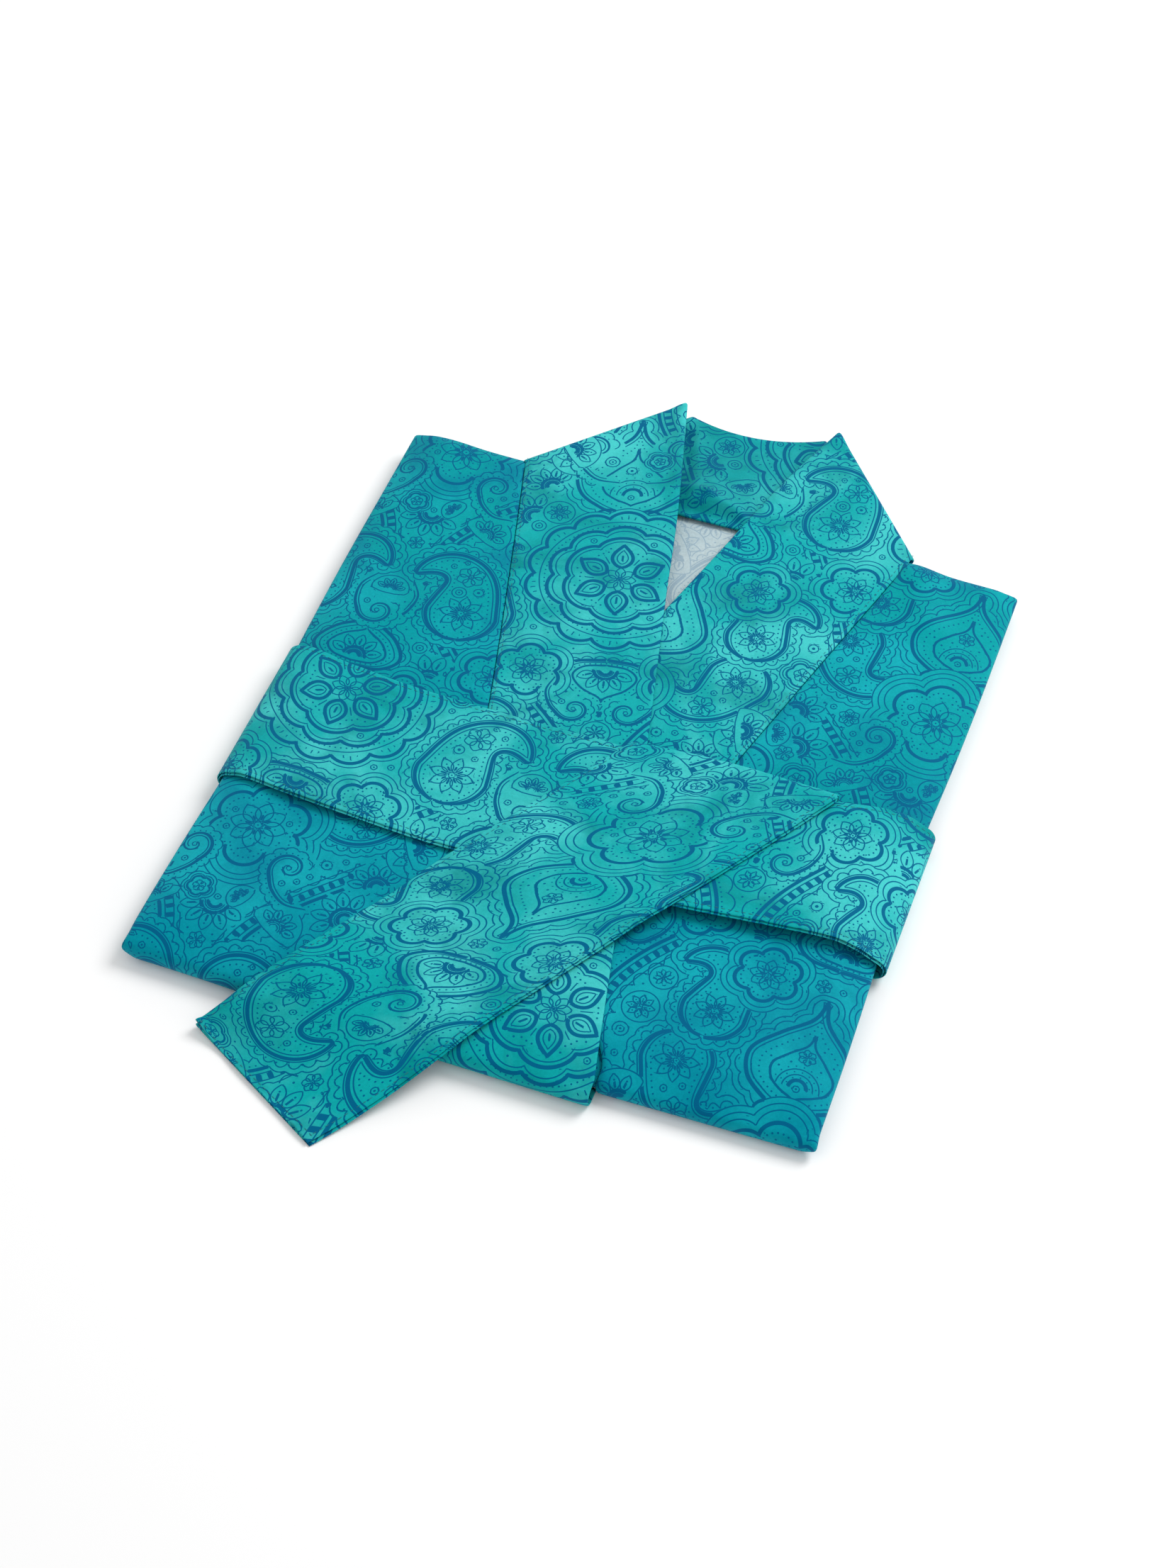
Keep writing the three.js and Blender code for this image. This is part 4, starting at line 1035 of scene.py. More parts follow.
rim_x, rim_y, to_x, to_y, _, end_share = rim_of(plan_x, plan_y, turn_across, turn_along)
ring = np.maximum(*np.broadcast_arrays(layer_rings[:, None], layer_rings[None, :]))
fold_angle = np.linspace(math.pi / 2, -math.pi / 2, FOLD_STEPS + 1)
fold_outs, fold_ups = [], []
for k, peak in enumerate(FOLD_PEAKS):
    middle, half = (FOLDS_DOWN[k] + FOLDS_DOWN[k + 1]) / 2, (FOLDS_DOWN[k] - FOLDS_DOWN[k + 1]) / 2
    kept = slice(0 if k == 0 else 1, None)
    fold_outs.extend((peak - FOLD_DEPTH * (1 - np.cos(fold_angle)))[kept])
    fold_ups.extend((middle + half * np.sin(fold_angle))[kept])
down = np.clip(LAYER_RINGS - 1 - ring, 0, len(fold_outs) - 1)
wander = 0.5 * np.sin(rim_x / 31 + 1.3 * down / FOLD_STEPS)
wander = wander + 0.4 * np.sin(rim_y / 23 - 0.9 * (down // FOLD_STEPS))
layer_out = np.array(fold_outs)[down] + wander * np.minimum(1, down / 4)
layer_up = np.array(fold_ups)[down]
inward = (LAYER_RINGS - ring) / LAYER_RINGS
lie_level = level_of(CORE, plan_x, plan_y)
floor_z = np.where((layer_at > BED["from"]) & (layer_at < BED["to"]), BED["depth"], 0)[:, None]
base = ground_height(CORE, rim_x, rim_y)
groove = base - ROLL * (1 + math.cos(START)) - SKIN - GAP - SLACK
to_hem = 1 - smooth(0, HEM_CORNER, hem_inner(plan_x, lie_level) - CORNER + plan_y)
tuck_out = -TUCK["side"] - 2 * GAP
side_out = mix(layer_out, tuck_out - 0.5 * inward, to_hem) - ROLL * math.sin(START)
side_up = mix(floor_z, groove, layer_up)
hem_out = -hem_tuck(plan_x, plan_y) - 2 * GAP - 2 * inward - turn_radius(base) * math.sin(START)
end_out = np.where(plan_y < 0, hem_out, side_out)
end_up = np.where(plan_y < 0, SKIN * (1 - inward), side_up)
out, up = mix(side_out, end_out, end_share), mix(side_up, end_up, end_share)
under_x, under_y = layer_place(UNDERSIDE_INSET)
layers_below = np.where(
    (ring == 0)[..., None],
    points_of(under_x, under_y, floor_z + 0 * under_x),
    points_of(rim_x + to_x * out, rim_y + to_y * out, up),
)
layers_uv = cloth_place(layers_top, layer_turns, layer_turns)
folded_layers = cloth_shell("packet_layers", layers_top, layers_below, layers_uv)
finish_cloth(folded_layers, robe_cloth, grain=90, cut_at=(10, 30))
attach(folded_layers, "root")
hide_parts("folded_layers")


# ==== right front ====
# The wearer's right front of printed microfibre, folded over the packet from its right side. It turns down
# round the side, the hem and the shoulder, and is sewn to the neckband along its slanting inner edge.
CLOTH = 0.8  # mm, the wall of one laid cloth
SEAM_DIP, SEAM_WIDTH = 0.55, 1.3  # the cloth rolls down into a seam
PANEL_LENGTH, PANEL_WIDTH = 310, 100
# Soft swells and creases of the fronts: from x, y to x, y, width, height
SWELLS = [
    (100, 160, 117, 126, 10, 2.4), (-131, 162, -126, 135, 14, 1.4), (-92, 66, -132, 22, 13, 0.8),
    (84, -92, 122, -130, 14, 0.8),
]


def swell_at(x, y):
    return ridges(SWELLS, x, y) * smooth(-158, -135, y)


def panel_rows(length):
    """Stations along a panel: the straight share of each, and its turn round the hem or the shoulder."""
    straight = np.linspace(0, 1, int(length / PITCH))
    at = np.concatenate([np.zeros(len(TURN_STEPS)), straight, np.ones(len(TURN_STEPS))])
    turns = np.concatenate([-TURN_STEPS[::-1], np.zeros(len(straight)), TURN_STEPS])
    return at, turns


def end_round(count):
    """A wall that closes to an edge at both ends of a run of stations."""
    steps_in = np.minimum(np.arange(count), np.arange(count)[::-1])
    return edge_round(steps_in / 3)


def front_panel(name, ground, side_sign, edge_at, level, creases):
    """One front, from its edge at a seam out over the side, and from the hem to the shoulder."""
    at, turns = panel_rows(PANEL_LENGTH)
    near = np.concatenate([EDGE_STEPS * CLOTH / 2, [0.7, 1.2, 1.9]])
    share = np.linspace(0, 1, int(PANEL_WIDTH / PITCH))[1:]
    turn_x = np.concatenate([np.zeros(len(near) + len(share)), TURN_STEPS])
    shares = np.concatenate([np.zeros(len(near)), share, np.ones(len(TURN_STEPS))])
    nears = np.concatenate([near, np.full(len(share) + len(TURN_STEPS), near[-1])])

    def across(y):
        return mix(edge_at(y) + side_sign * nears, side_sign * (side_inner(y) - CORNER), shares)

    guess = across(mix(-HEM["left"], SHOULDER["reach"], at[:, None]))
    y = mix(CORNER - hem_inner(guess, level), shoulder_inner(guess) - CORNER, at[:, None])
    x = across(y)
    side_end = [0.75, 0.5, 0.25, 0]
    whole = np.ones(x.shape[1] - len(EDGE_STEPS) - len(side_end))
    body = edge_round(np.concatenate([EDGE_STEPS, whole, side_end]))
    body = body[None, :] * end_round(len(at))[:, None]
    flatness = np.clip(1 - np.abs(turns) * TURNS, 0, 1)[:, None] * np.clip(1 - turn_x * TURNS, 0, 1)[None, :]
    top = PANEL_WALL - SEAM_DIP * hill(np.abs(x - edge_at(y)), 0, SEAM_WIDTH) + creases(x, y) * flatness
    faces = [
        lie(
            ground, x, y, side_sign * turn_x[None, :], turns[:, None],
            GAP + top - CLOTH / 2 * (1 - face * body),
        )
        for face in (1, -1)
    ]
    return cloth_shell(name, *faces, cloth_place(faces[0], side_sign * turn_x, turns))


RIGHT_CREASES = [
    (-140, 118, -98, 96, 9, 0.35), (-146, 70, -70, 40, 12, 0.3), (-120, -95, -60, -140, 12, 0.35),
    (-146, -90, -100, -120, 9, -0.3), (-88, 140, -80, 60, 5, 0.25), (-100, 30, -60, 16, 6, 0.35),
]
front_right = front_panel(
    "right_front", ground_of(1, swells=swell_at), -1, lambda y: right_seam(y) - GAP, 1,
    lambda x, y: ridges(RIGHT_CREASES, x, y),
)
finish_cloth(front_right, robe_cloth, grain=0, cut_at=(120, 40))
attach(front_right, "root")
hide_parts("front_right")

# ==== left front ====
# The left front, of the same cloth, is folded over the packet from the other side. It lies under the right
# one, so its inner edge runs on under the right front's neckband, and its own band is sewn to it above.
LEFT_CREASES = [
    (90, 150, 140, 120, 7, -0.35), (100, 60, 146, 30, 10, 0.35), (66, 30, 120, 14, 7, 0.3),
    (60, -90, 100, -150, 12, 0.3), (110, -80, 146, -110, 9, -0.3),
]


def lap_edge(y):
    return band_edge(y) - lap_width(y) + LAP["hem_room"] * (1 - smooth(LAP["from"], LAP["to"], y))


front_left = front_panel(
    "left_front", ground_of(0, swells=swell_at), 1, lambda y: np.maximum(left_seam(y) + GAP, lap_edge(y)), 0,
    lambda x, y: ridges(LEFT_CREASES, x, y),
)
finish_cloth(front_left, robe_cloth, grain=0, cut_at=(60, 128))
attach(front_left, "root")
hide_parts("front_left")

# ==== inside of the back ====
# The back shows its pale wrong side in the V between the neckbands, down in the neck opening. The print only
# shines through there. The cloth lies on the hidden layers, and its edges are under the bands.
INSIDE_TOP, FOOT_Y, INSIDE_END, MARGIN = 1.0, 84, 161, 9
INSIDE_ROWS, INSIDE_COLUMNS = 60, 52
wrong_side = printed_cloth(
    "wrong_side", hem=(176, 195, 200), shoulder=(180, 198, 202),
    patch=(164, 186, 194), light=(190, 204, 208), line=(128, 156, 176),
    patch_share=0.6, line_share=0.6, sheen=0.05, glow=(240, 240, 245),
)
row_y = np.linspace(FOOT_Y, INSIDE_END, INSIDE_ROWS)[:, None]
inside_share = np.linspace(0, 1, INSIDE_COLUMNS)[None, :]
inside_x = mix(band_edge(row_y) - MARGIN, read(LEFT_BAND, 1, row_y) + MARGIN, inside_share)
inside_body = end_round(INSIDE_ROWS)[:, None] * end_round(INSIDE_COLUMNS)[None, :]
inside_faces = [
    lie(
        ground_of(0, dips=1, beyond=True), inside_x, row_y, 0, 0,
        GAP + INSIDE_TOP - CLOTH / 2 * (1 - face * inside_body),
    )
    for face in (1, -1)
]
back_inside = cloth_shell("back_wrong_side", *inside_faces, inside_faces[0][..., :2])
finish_cloth(back_inside, wrong_side, grain=180, cut_at=(62, 96))
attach(back_inside, "root")
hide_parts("back_inside")


# ==== neckband on the right front ====
# A straight band of the printed cloth, folded double and sewn along the slanting edge of the right front. It
# runs from the hem up past the shoulder, where it turns over on its face to go round the back of the neck.
BAND_TURN = {"radius": 0.6, "lip": 5, "share": 0.6}
COLLAR_RISE = {"height": 3.2, "x": -10, "spread_x": 28, "y": 168, "spread_y": 30}
RIGHT_TURN = {"rows": RIGHT_BAND, "seam_y": 160.3, "peak_y": 223.9}
LEFT_TURN = {"rows": LEFT_BAND, "seam_y": 161.2, "peak_y": 231}
LEFT_BAND_END = -62
BAND_BODY, BAND_ROLL, ROLL_WIDTH, RIM_LIFT = 1.1, 0.45, 2.6, 0.9
BAND_FACE, BAND_STATIONS, OVER_STATIONS = 75, 58, 22
TO_HEM, TO_SASH = 164, 62  # mm from the middle of the packet to where each band starts
STITCH_IN = 1.5  # mm from the seam
THREAD = {"length": 1.9, "width": 0.34, "pitch": 2.9}  # mm
# The thread's colour is partly the thread's own blue-green and partly painted shade: it is darkened to stand
# for the short shadows at each stitch.
thread_with_painted_shade = bpy.data.materials.new("thread_with_painted_shade")
thread_with_painted_shade.use_nodes = True
thread_shader = thread_with_painted_shade.node_tree.nodes["Principled BSDF"]
thread_shader.inputs["Base Color"].default_value = linear((0, 112, 128))
thread_shader.inputs["Roughness"].default_value = 0.55
band_cloth = printed_cloth(
    "band_microfibre", hem=(12, 162, 164), shoulder=(22, 166, 168),
    patch=(0, 128, 130), light=(74, 200, 198), line=(0, 94, 134), patch_share=0.85,
)


def stitch_nodes():
    """Short threads set along a line, each a little larger or smaller than the others."""
    tree = bpy.data.node_groups.new("row_of_stitches", "GeometryNodeTree")
    sockets = {}
    tree.interface.new_socket("Geometry", in_out="INPUT", socket_type="NodeSocketGeometry")
    kinds = {"Pitch": "Float", "Length": "Float", "Width": "Float", "Seed": "Int", "Thread": "Material"}
    for name, kind in kinds.items():
        sockets[name] = tree.interface.new_socket(
            name, in_out="INPUT", socket_type=f"NodeSocket{kind}",
        ).identifier
    tree.interface.new_socket("Geometry", in_out="OUTPUT", socket_type="NodeSocketGeometry")
    given = tree.nodes.new("NodeGroupInput")
    line = wire(tree, "GeometryNodeMeshToCurve", {0: given.outputs["Geometry"]})
    even = wire(
        tree, "GeometryNodeResampleCurve", {"Curve": line.outputs[0], "Length": given.outputs["Pitch"]},
        mode="LENGTH",
    )
    ball = wire(tree, "GeometryNodeMeshUVSphere", {"Segments": 8, "Rings": 5, "Radius": 0.5})
    thick = wire(
        tree, "ShaderNodeCombineXYZ",
        {0: given.outputs["Length"], 1: given.outputs["Width"], 2: given.outputs["Width"]},
    )
    thread = wire(tree, "GeometryNodeTransform", {"Geometry": ball.outputs[0], "Scale": thick.outputs[0]})
    along = wire(tree, "GeometryNodeInputTangent", {})
    aim = wire(tree, "FunctionNodeAlignRotationToVector", {"Vector": along.outputs[0]}, axis="X")
    size = wire(
        tree, "FunctionNodeRandomValue", {2: 0.88, 3: 1.08, "Seed": given.outputs["Seed"]},
        data_type="FLOAT",
    )
    placed = wire(tree, "GeometryNodeInstanceOnPoints", {
        "Points": even.outputs[0], "Instance": thread.outputs[0],
        "Rotation": aim.outputs[0], "Scale": size.outputs[1],
    })
    real = wire(tree, "GeometryNodeRealizeInstances", {0: placed.outputs[0]})
    dressed = wire(
        tree, "GeometryNodeSetMaterial", {"Geometry": real.outputs[0], "Material": given.outputs["Thread"]},
    )
    result = tree.nodes.new("NodeGroupOutput")
    tree.links.new(dressed.outputs[0], result.inputs[0])
    return tree, sockets


stitch_tree, stitch_sockets = stitch_nodes()


def stitches(name, lines, seed):
    """Rows of stitches along lines of points in mm, as one piece."""
    guide = bpy.data.meshes.new(name + "_guide")
    points = np.concatenate(lines) * MM
    starts = np.cumsum([0] + [len(each) for each in lines])
    edges = [(k, k + 1) for a, b in zip(starts[:-1], starts[1:]) for k in range(a, b - 1)]
    guide.from_pydata(points.tolist(), edges, [])
    piece = bpy.data.objects.new(name, guide)
    scene.collection.objects.link(piece)
    sewing = piece.modifiers.new("sewing", "NODES")
    sewing.node_group = stitch_tree
    sizes = {name.capitalize(): size * MM for name, size in THREAD.items()}
    for key, value in {**sizes, "Seed": seed, "Thread": thread_with_painted_shade}.items():
        sewing[stitch_sockets[key]] = value
    shape = bpy.data.meshes.new_from_object(piece.evaluated_get(bpy.context.evaluated_depsgraph_get()))
    piece.modifiers.clear()
    piece.data = shape
    bpy.data.meshes.remove(guide)
    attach(piece, "root")
    return piece


def line_across(grid, distances, at):
    """The line of points that lies at a given distance across every row of a grid."""
    return np.array(
        [[np.interp(at, row, points[:, k]) for k in range(3)] for row, points in zip(distances, grid)]
    )


def collar_rise(x, y):
    rise_x = hill(x, COLLAR_RISE["x"], COLLAR_RISE["spread_x"])
    rise_y = hill(y, COLLAR_RISE["y"], COLLAR_RISE["spread_y"])
    return COLLAR_RISE["height"] * (rise_x * rise_y)


def turn_ends(turn_line):
    """The ends in plan of the line where a band turns over: at its seam and at its free edge."""
    rows = turn_line["rows"]
    peak = np.array([float(read(rows, 1, turn_line["peak_y"])), turn_line["peak_y"]])
    end = np.array([float(read(rows, 2, turn_line["seam_y"])), turn_line["seam_y"]])
    return peak, end


def turn_outward(turn_line):
    peak, end = turn_ends(turn_line)
    line = peak - end
    outward = np.array([-line[1], line[0]]) / np.hypot(*line)
    return outward if outward[1] > 0 else -outward


def front_band(name, ground, inner_at, turn_line, start_at, at_hem, axis):
    """A band on a front, from the hem or the sash to its turned-over end, and its line of sewing."""
    outward = turn_outward(turn_line)
    straight = np.linspace(0, 1, int((turn_line["peak_y"] + (TO_HEM if at_hem else TO_SASH)) / PITCH))
    over = np.linspace(0, 1, OVER_STATIONS)[1:]
    hem_steps = TURN_STEPS[::-1] if at_hem else TURN_STEPS[:0]
    at = np.concatenate([np.zeros(len(hem_steps)), straight, np.ones(len(over))])[:, None]
    hem_turn = np.concatenate([-hem_steps, np.zeros(len(straight) + len(over))])[:, None]
    over_turn = np.concatenate([np.zeros(len(hem_steps) + len(straight)), over])[:, None]
    edge_in = EDGE_STEPS * BAND_BODY / 2 / BAND_FACE
    between = np.linspace(edge_in[-1] + 0.008, 1 - edge_in[-1] - 0.008, BAND_STATIONS)
    share = np.concatenate([edge_in, between, 1 - edge_in[::-1]])[None, :]
    inner_y = mix(start_at(inner_at(-HEM["left"])), turn_line["peak_y"], at)
    seam_y = mix(start_at(read(turn_line["rows"], 2, -HEM["left"])), turn_line["seam_y"], at)
    x = mix(inner_at(inner_y), read(turn_line["rows"], 2, seam_y), share)
    y = mix(inner_y, seam_y, share)
    width = np.abs(inner_at(inner_y) - read(turn_line["rows"], 2, seam_y))
    thinning = mix(PANEL_WALL / BAND_WALL, 1, smooth(-150, -120, y))
    from_free, from_seam = share * width, (1 - share) * width
    body = np.minimum(edge_round(from_free / (BAND_BODY / 2)), edge_round(from_seam / (BAND_BODY / 2)))
    body = np.maximum(body, 0) * end_round(len(at))[:, None]
    flat_part = 1 - smooth(0, 0.1, over_turn)
    top = BAND_WALL - flat_part * (
        BAND_ROLL * (1 - edge_round(from_free / ROLL_WIDTH)) + 0.8 * SEAM_DIP * hill(from_seam, 0, SEAM_WIDTH)
    )
    rise = collar_rise(x, y) + RIM_LIFT * hill(from_free, 1.8, 3) * smooth(140, 175, y)

    def face(body_sign):
        off = (top - BAND_BODY / 2 * (1 - body_sign * body)) * thinning
        points = lie(ground, x, y, 0, hem_turn, GAP + off)
        angle = math.pi * np.minimum(1, over_turn / BAND_TURN["share"])
        lip = BAND_TURN["lip"] * np.maximum(0, over_turn - BAND_TURN["share"]) / (1 - BAND_TURN["share"])
        lip = lip * smooth(0.5, 12, from_free)
        radius = BAND_TURN["radius"] + off
        out = np.where(over_turn > 0, radius * np.sin(angle) - lip, 0)
        down = np.where(over_turn > 0, radius * (np.cos(angle) - 1), 0)
        return points + points_of(outward[0] * out, outward[1] * out, rise + down)

    outer = face(1)
    place = cloth_place(outer, np.zeros(share.shape[1]), hem_turn[:, 0] + over_turn[:, 0], axis)
    sewn = line_across(outer[:, ::-1], from_seam[:, ::-1], STITCH_IN)
    shown = (np.abs(hem_turn[:, 0]) < 0.45) & (over_turn[:, 0] < 0.2)
    return cloth_shell(name, outer, face(-1), place), sewn[shown] + [0, 0, 0.05]


neckband_right, sewn_line = front_band(
    "neckband_over", ground_of(1, beyond=True), band_edge, RIGHT_TURN,
    lambda x: CORNER - hem_inner(x, 1), True, (-0.2274, 0.9738),
)
finish_cloth(neckband_right, band_cloth, grain=0, cut_at=(98, 20))
over_stitches = stitches("neckband_over_stitches", [sewn_line], 3)
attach(neckband_right, "root")
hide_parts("neckband_right")

# ==== neckband on the left front ====
# The same folded band on the left front, sewn on alike. It comes out from under the right band and the sash
# and turns over on its face past the other shoulder.


def under_band_edge(y):
    return np.maximum(read(LEFT_BAND, 1, y), lap_edge(y))


neckband_left, sewn_line = front_band(
    "neckband_under", ground_of(0, beyond=True), under_band_edge, LEFT_TURN,
    lambda x: LEFT_BAND_END, False, (0.252, 0.968),
)
finish_cloth(neckband_left, band_cloth, grain=0, cut_at=(20, 160))
under_stitches = stitches("neckband_under_stitches", [sewn_line], 5)
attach(neckband_left, "root")
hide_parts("neckband_left")

# ==== neckband round the back of the neck ====
# The middle of the band, its inner face up. It stands off the neck seam in a soft roll and lies back flat
# beyond the shoulders, where its free edge bows in.
BOW = {"seam": 3, "free": 7.5}
NAPE_FACE, NAPE_ROWS, NAPE_COLUMNS = 66, 60, 120
NAPE_CREASES = [(-26, 171, -4, 169, 3, 1.2), (-4, 169, 18, 161, 3, 1.3), (-20, 186, 20, 176, 5, -0.5)]
NECK_ROLL = {"height": 4.4, "x": -6, "spread": 32, "from": 157.4, "top": 165, "fall": 208, "dip": 1.8}


def back_side(turn_line, level):
    """Where the nape's end lies below the turned-over band: free corner, seam corner and height."""
    peak, end = turn_ends(turn_line)
    inset = turn_outward(turn_line) * (-BAND_TURN["lip"] - 2 * GAP)
    return peak + inset, end + inset, level + GAP - 2 * BAND_TURN["radius"] - BAND_WALL


# The nape's cloth is the band's cloth painted darker: painted shade, for the nape sloping away from the
# light.
nape_shaded_cloth = printed_cloth(
    "nape_microfibre_painted_shade", hem=(16, 150, 154), shoulder=(20, 154, 158),
    patch=(0, 124, 126), light=(60, 184, 184), line=(0, 92, 130),
)
right_peak, right_end, right_z = back_side(RIGHT_TURN, HIGH_LEVEL)
left_peak, left_end, left_z = back_side(LEFT_TURN, LOW_LEVEL)
free_in = EDGE_STEPS[::-1] * BAND_BODY / 2 / NAPE_FACE
back_row = np.concatenate([np.linspace(0, 1 - free_in[0] - 0.01, NAPE_ROWS), 1 - free_in])[:, None]
back_column = np.linspace(0, 1, NAPE_COLUMNS)[None, :]


def back_face(body_sign):
    def spot(axis):
        right = mix(right_end[axis], right_peak[axis], back_row)
        return mix(right, mix(left_end[axis], left_peak[axis], back_row), back_column)

    bow = 4 * back_column * (1 - back_column) * mix(BOW["seam"], BOW["free"], back_row)
    x, y = spot(0), spot(1) - bow
    roll = NECK_ROLL["height"] * hill(x, NECK_ROLL["x"], NECK_ROLL["spread"])
    roll = roll * smooth(NECK_ROLL["from"], NECK_ROLL["top"], y)
    roll = roll * (1 - 0.9 * smooth(NECK_ROLL["top"] + 2, NECK_ROLL["fall"], y)) + ridges(NAPE_CREASES, x, y)
    to_band = np.minimum(read(LEFT_BAND, 1, y) - x, x - band_edge(y))
    roll = roll - NECK_ROLL["dip"] * smooth(8, 1, to_band) * smooth(158, 165, y) * smooth(219, 205, y)
    from_free = (1 - back_row) * NAPE_FACE
    body = edge_round(from_free / (BAND_BODY / 2)) * edge_round(np.minimum(back_row * NAPE_FACE, 1))
    body = body * end_round(back_column.shape[1])[None, :]
    rolled = BAND_ROLL * (1 - edge_round(from_free / ROLL_WIDTH))
    off = BAND_WALL - rolled - BAND_BODY / 2 * (1 - body_sign * body)
    return points_of(x, y, mix(right_z, left_z, back_column) + roll + off)


back_outer = back_face(1)
neckband_back = cloth_shell("neckband_nape", back_outer, back_face(-1), back_outer[..., [1, 0]] * [1, -1])
finish_cloth(neckband_back, nape_shaded_cloth, grain=20, cut_at=(70, 90))
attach(neckband_back, "root")
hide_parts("neckband_back")


# ==== sash, right stretch ====
# A straight tube of the same printed cloth, pressed flat and wound round the packet. Its edges show its two
# cloths, parted a little where it bends. Each stretch runs from under the free end round a side and below.
# x, y of the upper and of the lower edge, height of the face at each
SASH = np.array([
    (-147, 14.6, -65.2, 14.4, 14.2), (-138, 13.8, -65.6, 16.7, 17.2), (-118, 10, -68.6, 17, 18.8),
    (-85, 6.8, -71.4, 17, 18.8), (-48, 5.4, -72.9, 17.4, 17.7), (0, 4, -73, 18.7, 18.7),
    (60, 3.6, -70.8, 18.9, 18.8),
    (105, 4.2, -66.8, 19, 19), (128, 8.6, -65.1, 18.5, 18.8), (139, 9.8, -65.9, 16.6, 17.2),
    (148, 8.8, -66.8, 13.4, 13.6),
], float)
SASH_START, SASH_JOIN, SASH_UNDER_JOIN = 0.42, 34, -20
HALF = SASH_WALL / 2
GROOVE_IN, GROOVE_GAP = 2.4, 0.12
FACE_IN, FACE_STATIONS = 3.2, 54
STITCHES_UP = 0.06  # mm over the cloth
TURN_IN = 4  # mm from the side to where a stretch turns down it
UNDER_OUT = 0.9  # mm that the under cloth shows past the lower edge
AT_REST = 0.14  # mm, the least gap between the two cloths at an edge
STITCHED = slice(4, -70)  # the stations of a stretch that show

# Half of the tube's section, from the bottom of the groove at one edge over the face to the other: mm in from
# that side's edge, height above the middle as a share, and how far the gap opens it.
lip = np.linspace(0, 1, 6)
LIP_IN = 0.38 * (1 - np.sin(math.pi * lip))
near_edge = np.array([(GROOVE_IN, 0, 0), (GROOVE_IN - 0.3, 0, 1), (1.2, 0, 1), (0.5, 0, 1)])
near_edge = np.concatenate(
    [near_edge, np.stack([LIP_IN, lip, 1 - lip], axis=1)[1:], [(1.1, 1, 0), (2.3, 0.84, 0)]]
)
EDGE_COUNT = len(near_edge)
half_in = np.concatenate([near_edge[:, 0], np.zeros(FACE_STATIONS), near_edge[::-1, 0]])
half_up = np.concatenate([near_edge[:, 1], np.ones(FACE_STATIONS), near_edge[::-1, 1]])
half_gap = np.concatenate([near_edge[:, 2], np.zeros(FACE_STATIONS), near_edge[::-1, 2]])
half_kind = np.repeat([0, 1, 2], [EDGE_COUNT, FACE_STATIONS, EDGE_COUNT])
half_across = np.concatenate([np.zeros(EDGE_COUNT), np.linspace(0, 1, FACE_STATIONS), np.ones(EDGE_COUNT)])


def tube_piece(name, place_at, width, gap_low, gap_high, body, inset, peep=(0, 0)):
    """A flat tube. place_at(mm from the lower edge, mm off the middle) gives points for all stations.

    peep is how far the under cloth stands out past the upper one at each edge.
    """
    on_face = mix(FACE_IN, width - FACE_IN, half_across)
    from_low = np.where(half_kind == 0, half_in, np.where(half_kind == 1, on_face, width - half_in))
    from_low = np.clip(from_low, inset, width - inset)
    gap = np.where(half_kind == 0, gap_low, gap_high)
    height = np.minimum(mix(gap * half_gap, HALF, half_up), mix(HALF, GROOVE_GAP, inset > 0)) * body
    height[:, 0] = height[:, -1] = 0
    out = smooth(0, 1, np.clip((GROOVE_IN - half_in) / 2, 0, 1)) * body * (inset == 0)
    under = from_low - peep[0] * out * (half_kind == 0) + peep[1] * out * (half_kind == 2)
    upper, lower = place_at(from_low, height), place_at(under, -height)
    points = np.concatenate([upper, lower[:, -2:0:-1]], axis=1)
    place = np.stack([from_low, place_along(upper)], axis=-1)
    place = np.concatenate([place, place[:, -2:0:-1]], axis=1)
    rows, around = points.shape[:2]
    numbers = np.arange(rows * around).reshape(rows, around)
    pair = np.minimum(np.arange(around), (around - np.arange(around)) % around)
    numbers[0], numbers[-1] = numbers[0][pair], numbers[-1][pair]
    ring_numbers = np.concatenate([numbers, numbers[:, :1]], axis=1)
    ring_place = np.concatenate([place, place[:, :1]], axis=1).reshape(-1, 2)
    quads = grid_loops(ring_numbers)
    at_corner = grid_loops(np.arange(rows * (around + 1)).reshape(rows, around + 1))
    rows_sewn = [upper[:, edge] + [0, 0, STITCHES_UP] for edge in (EDGE_COUNT - 1, -EDGE_COUNT)]
    return new_piece(name, points.reshape(-1, 3), quads, ring_place[at_corner]), rows_sewn


def place_along(points):
    """How far along the cloth each station is, at the middle of its width."""
    steps_between = np.linalg.norm(np.diff(points[:, points.shape[1] // 2], axis=0), axis=-1)
    return np.concatenate([[0], np.cumsum(steps_between)])[:, None] + 0 * points[..., 0]


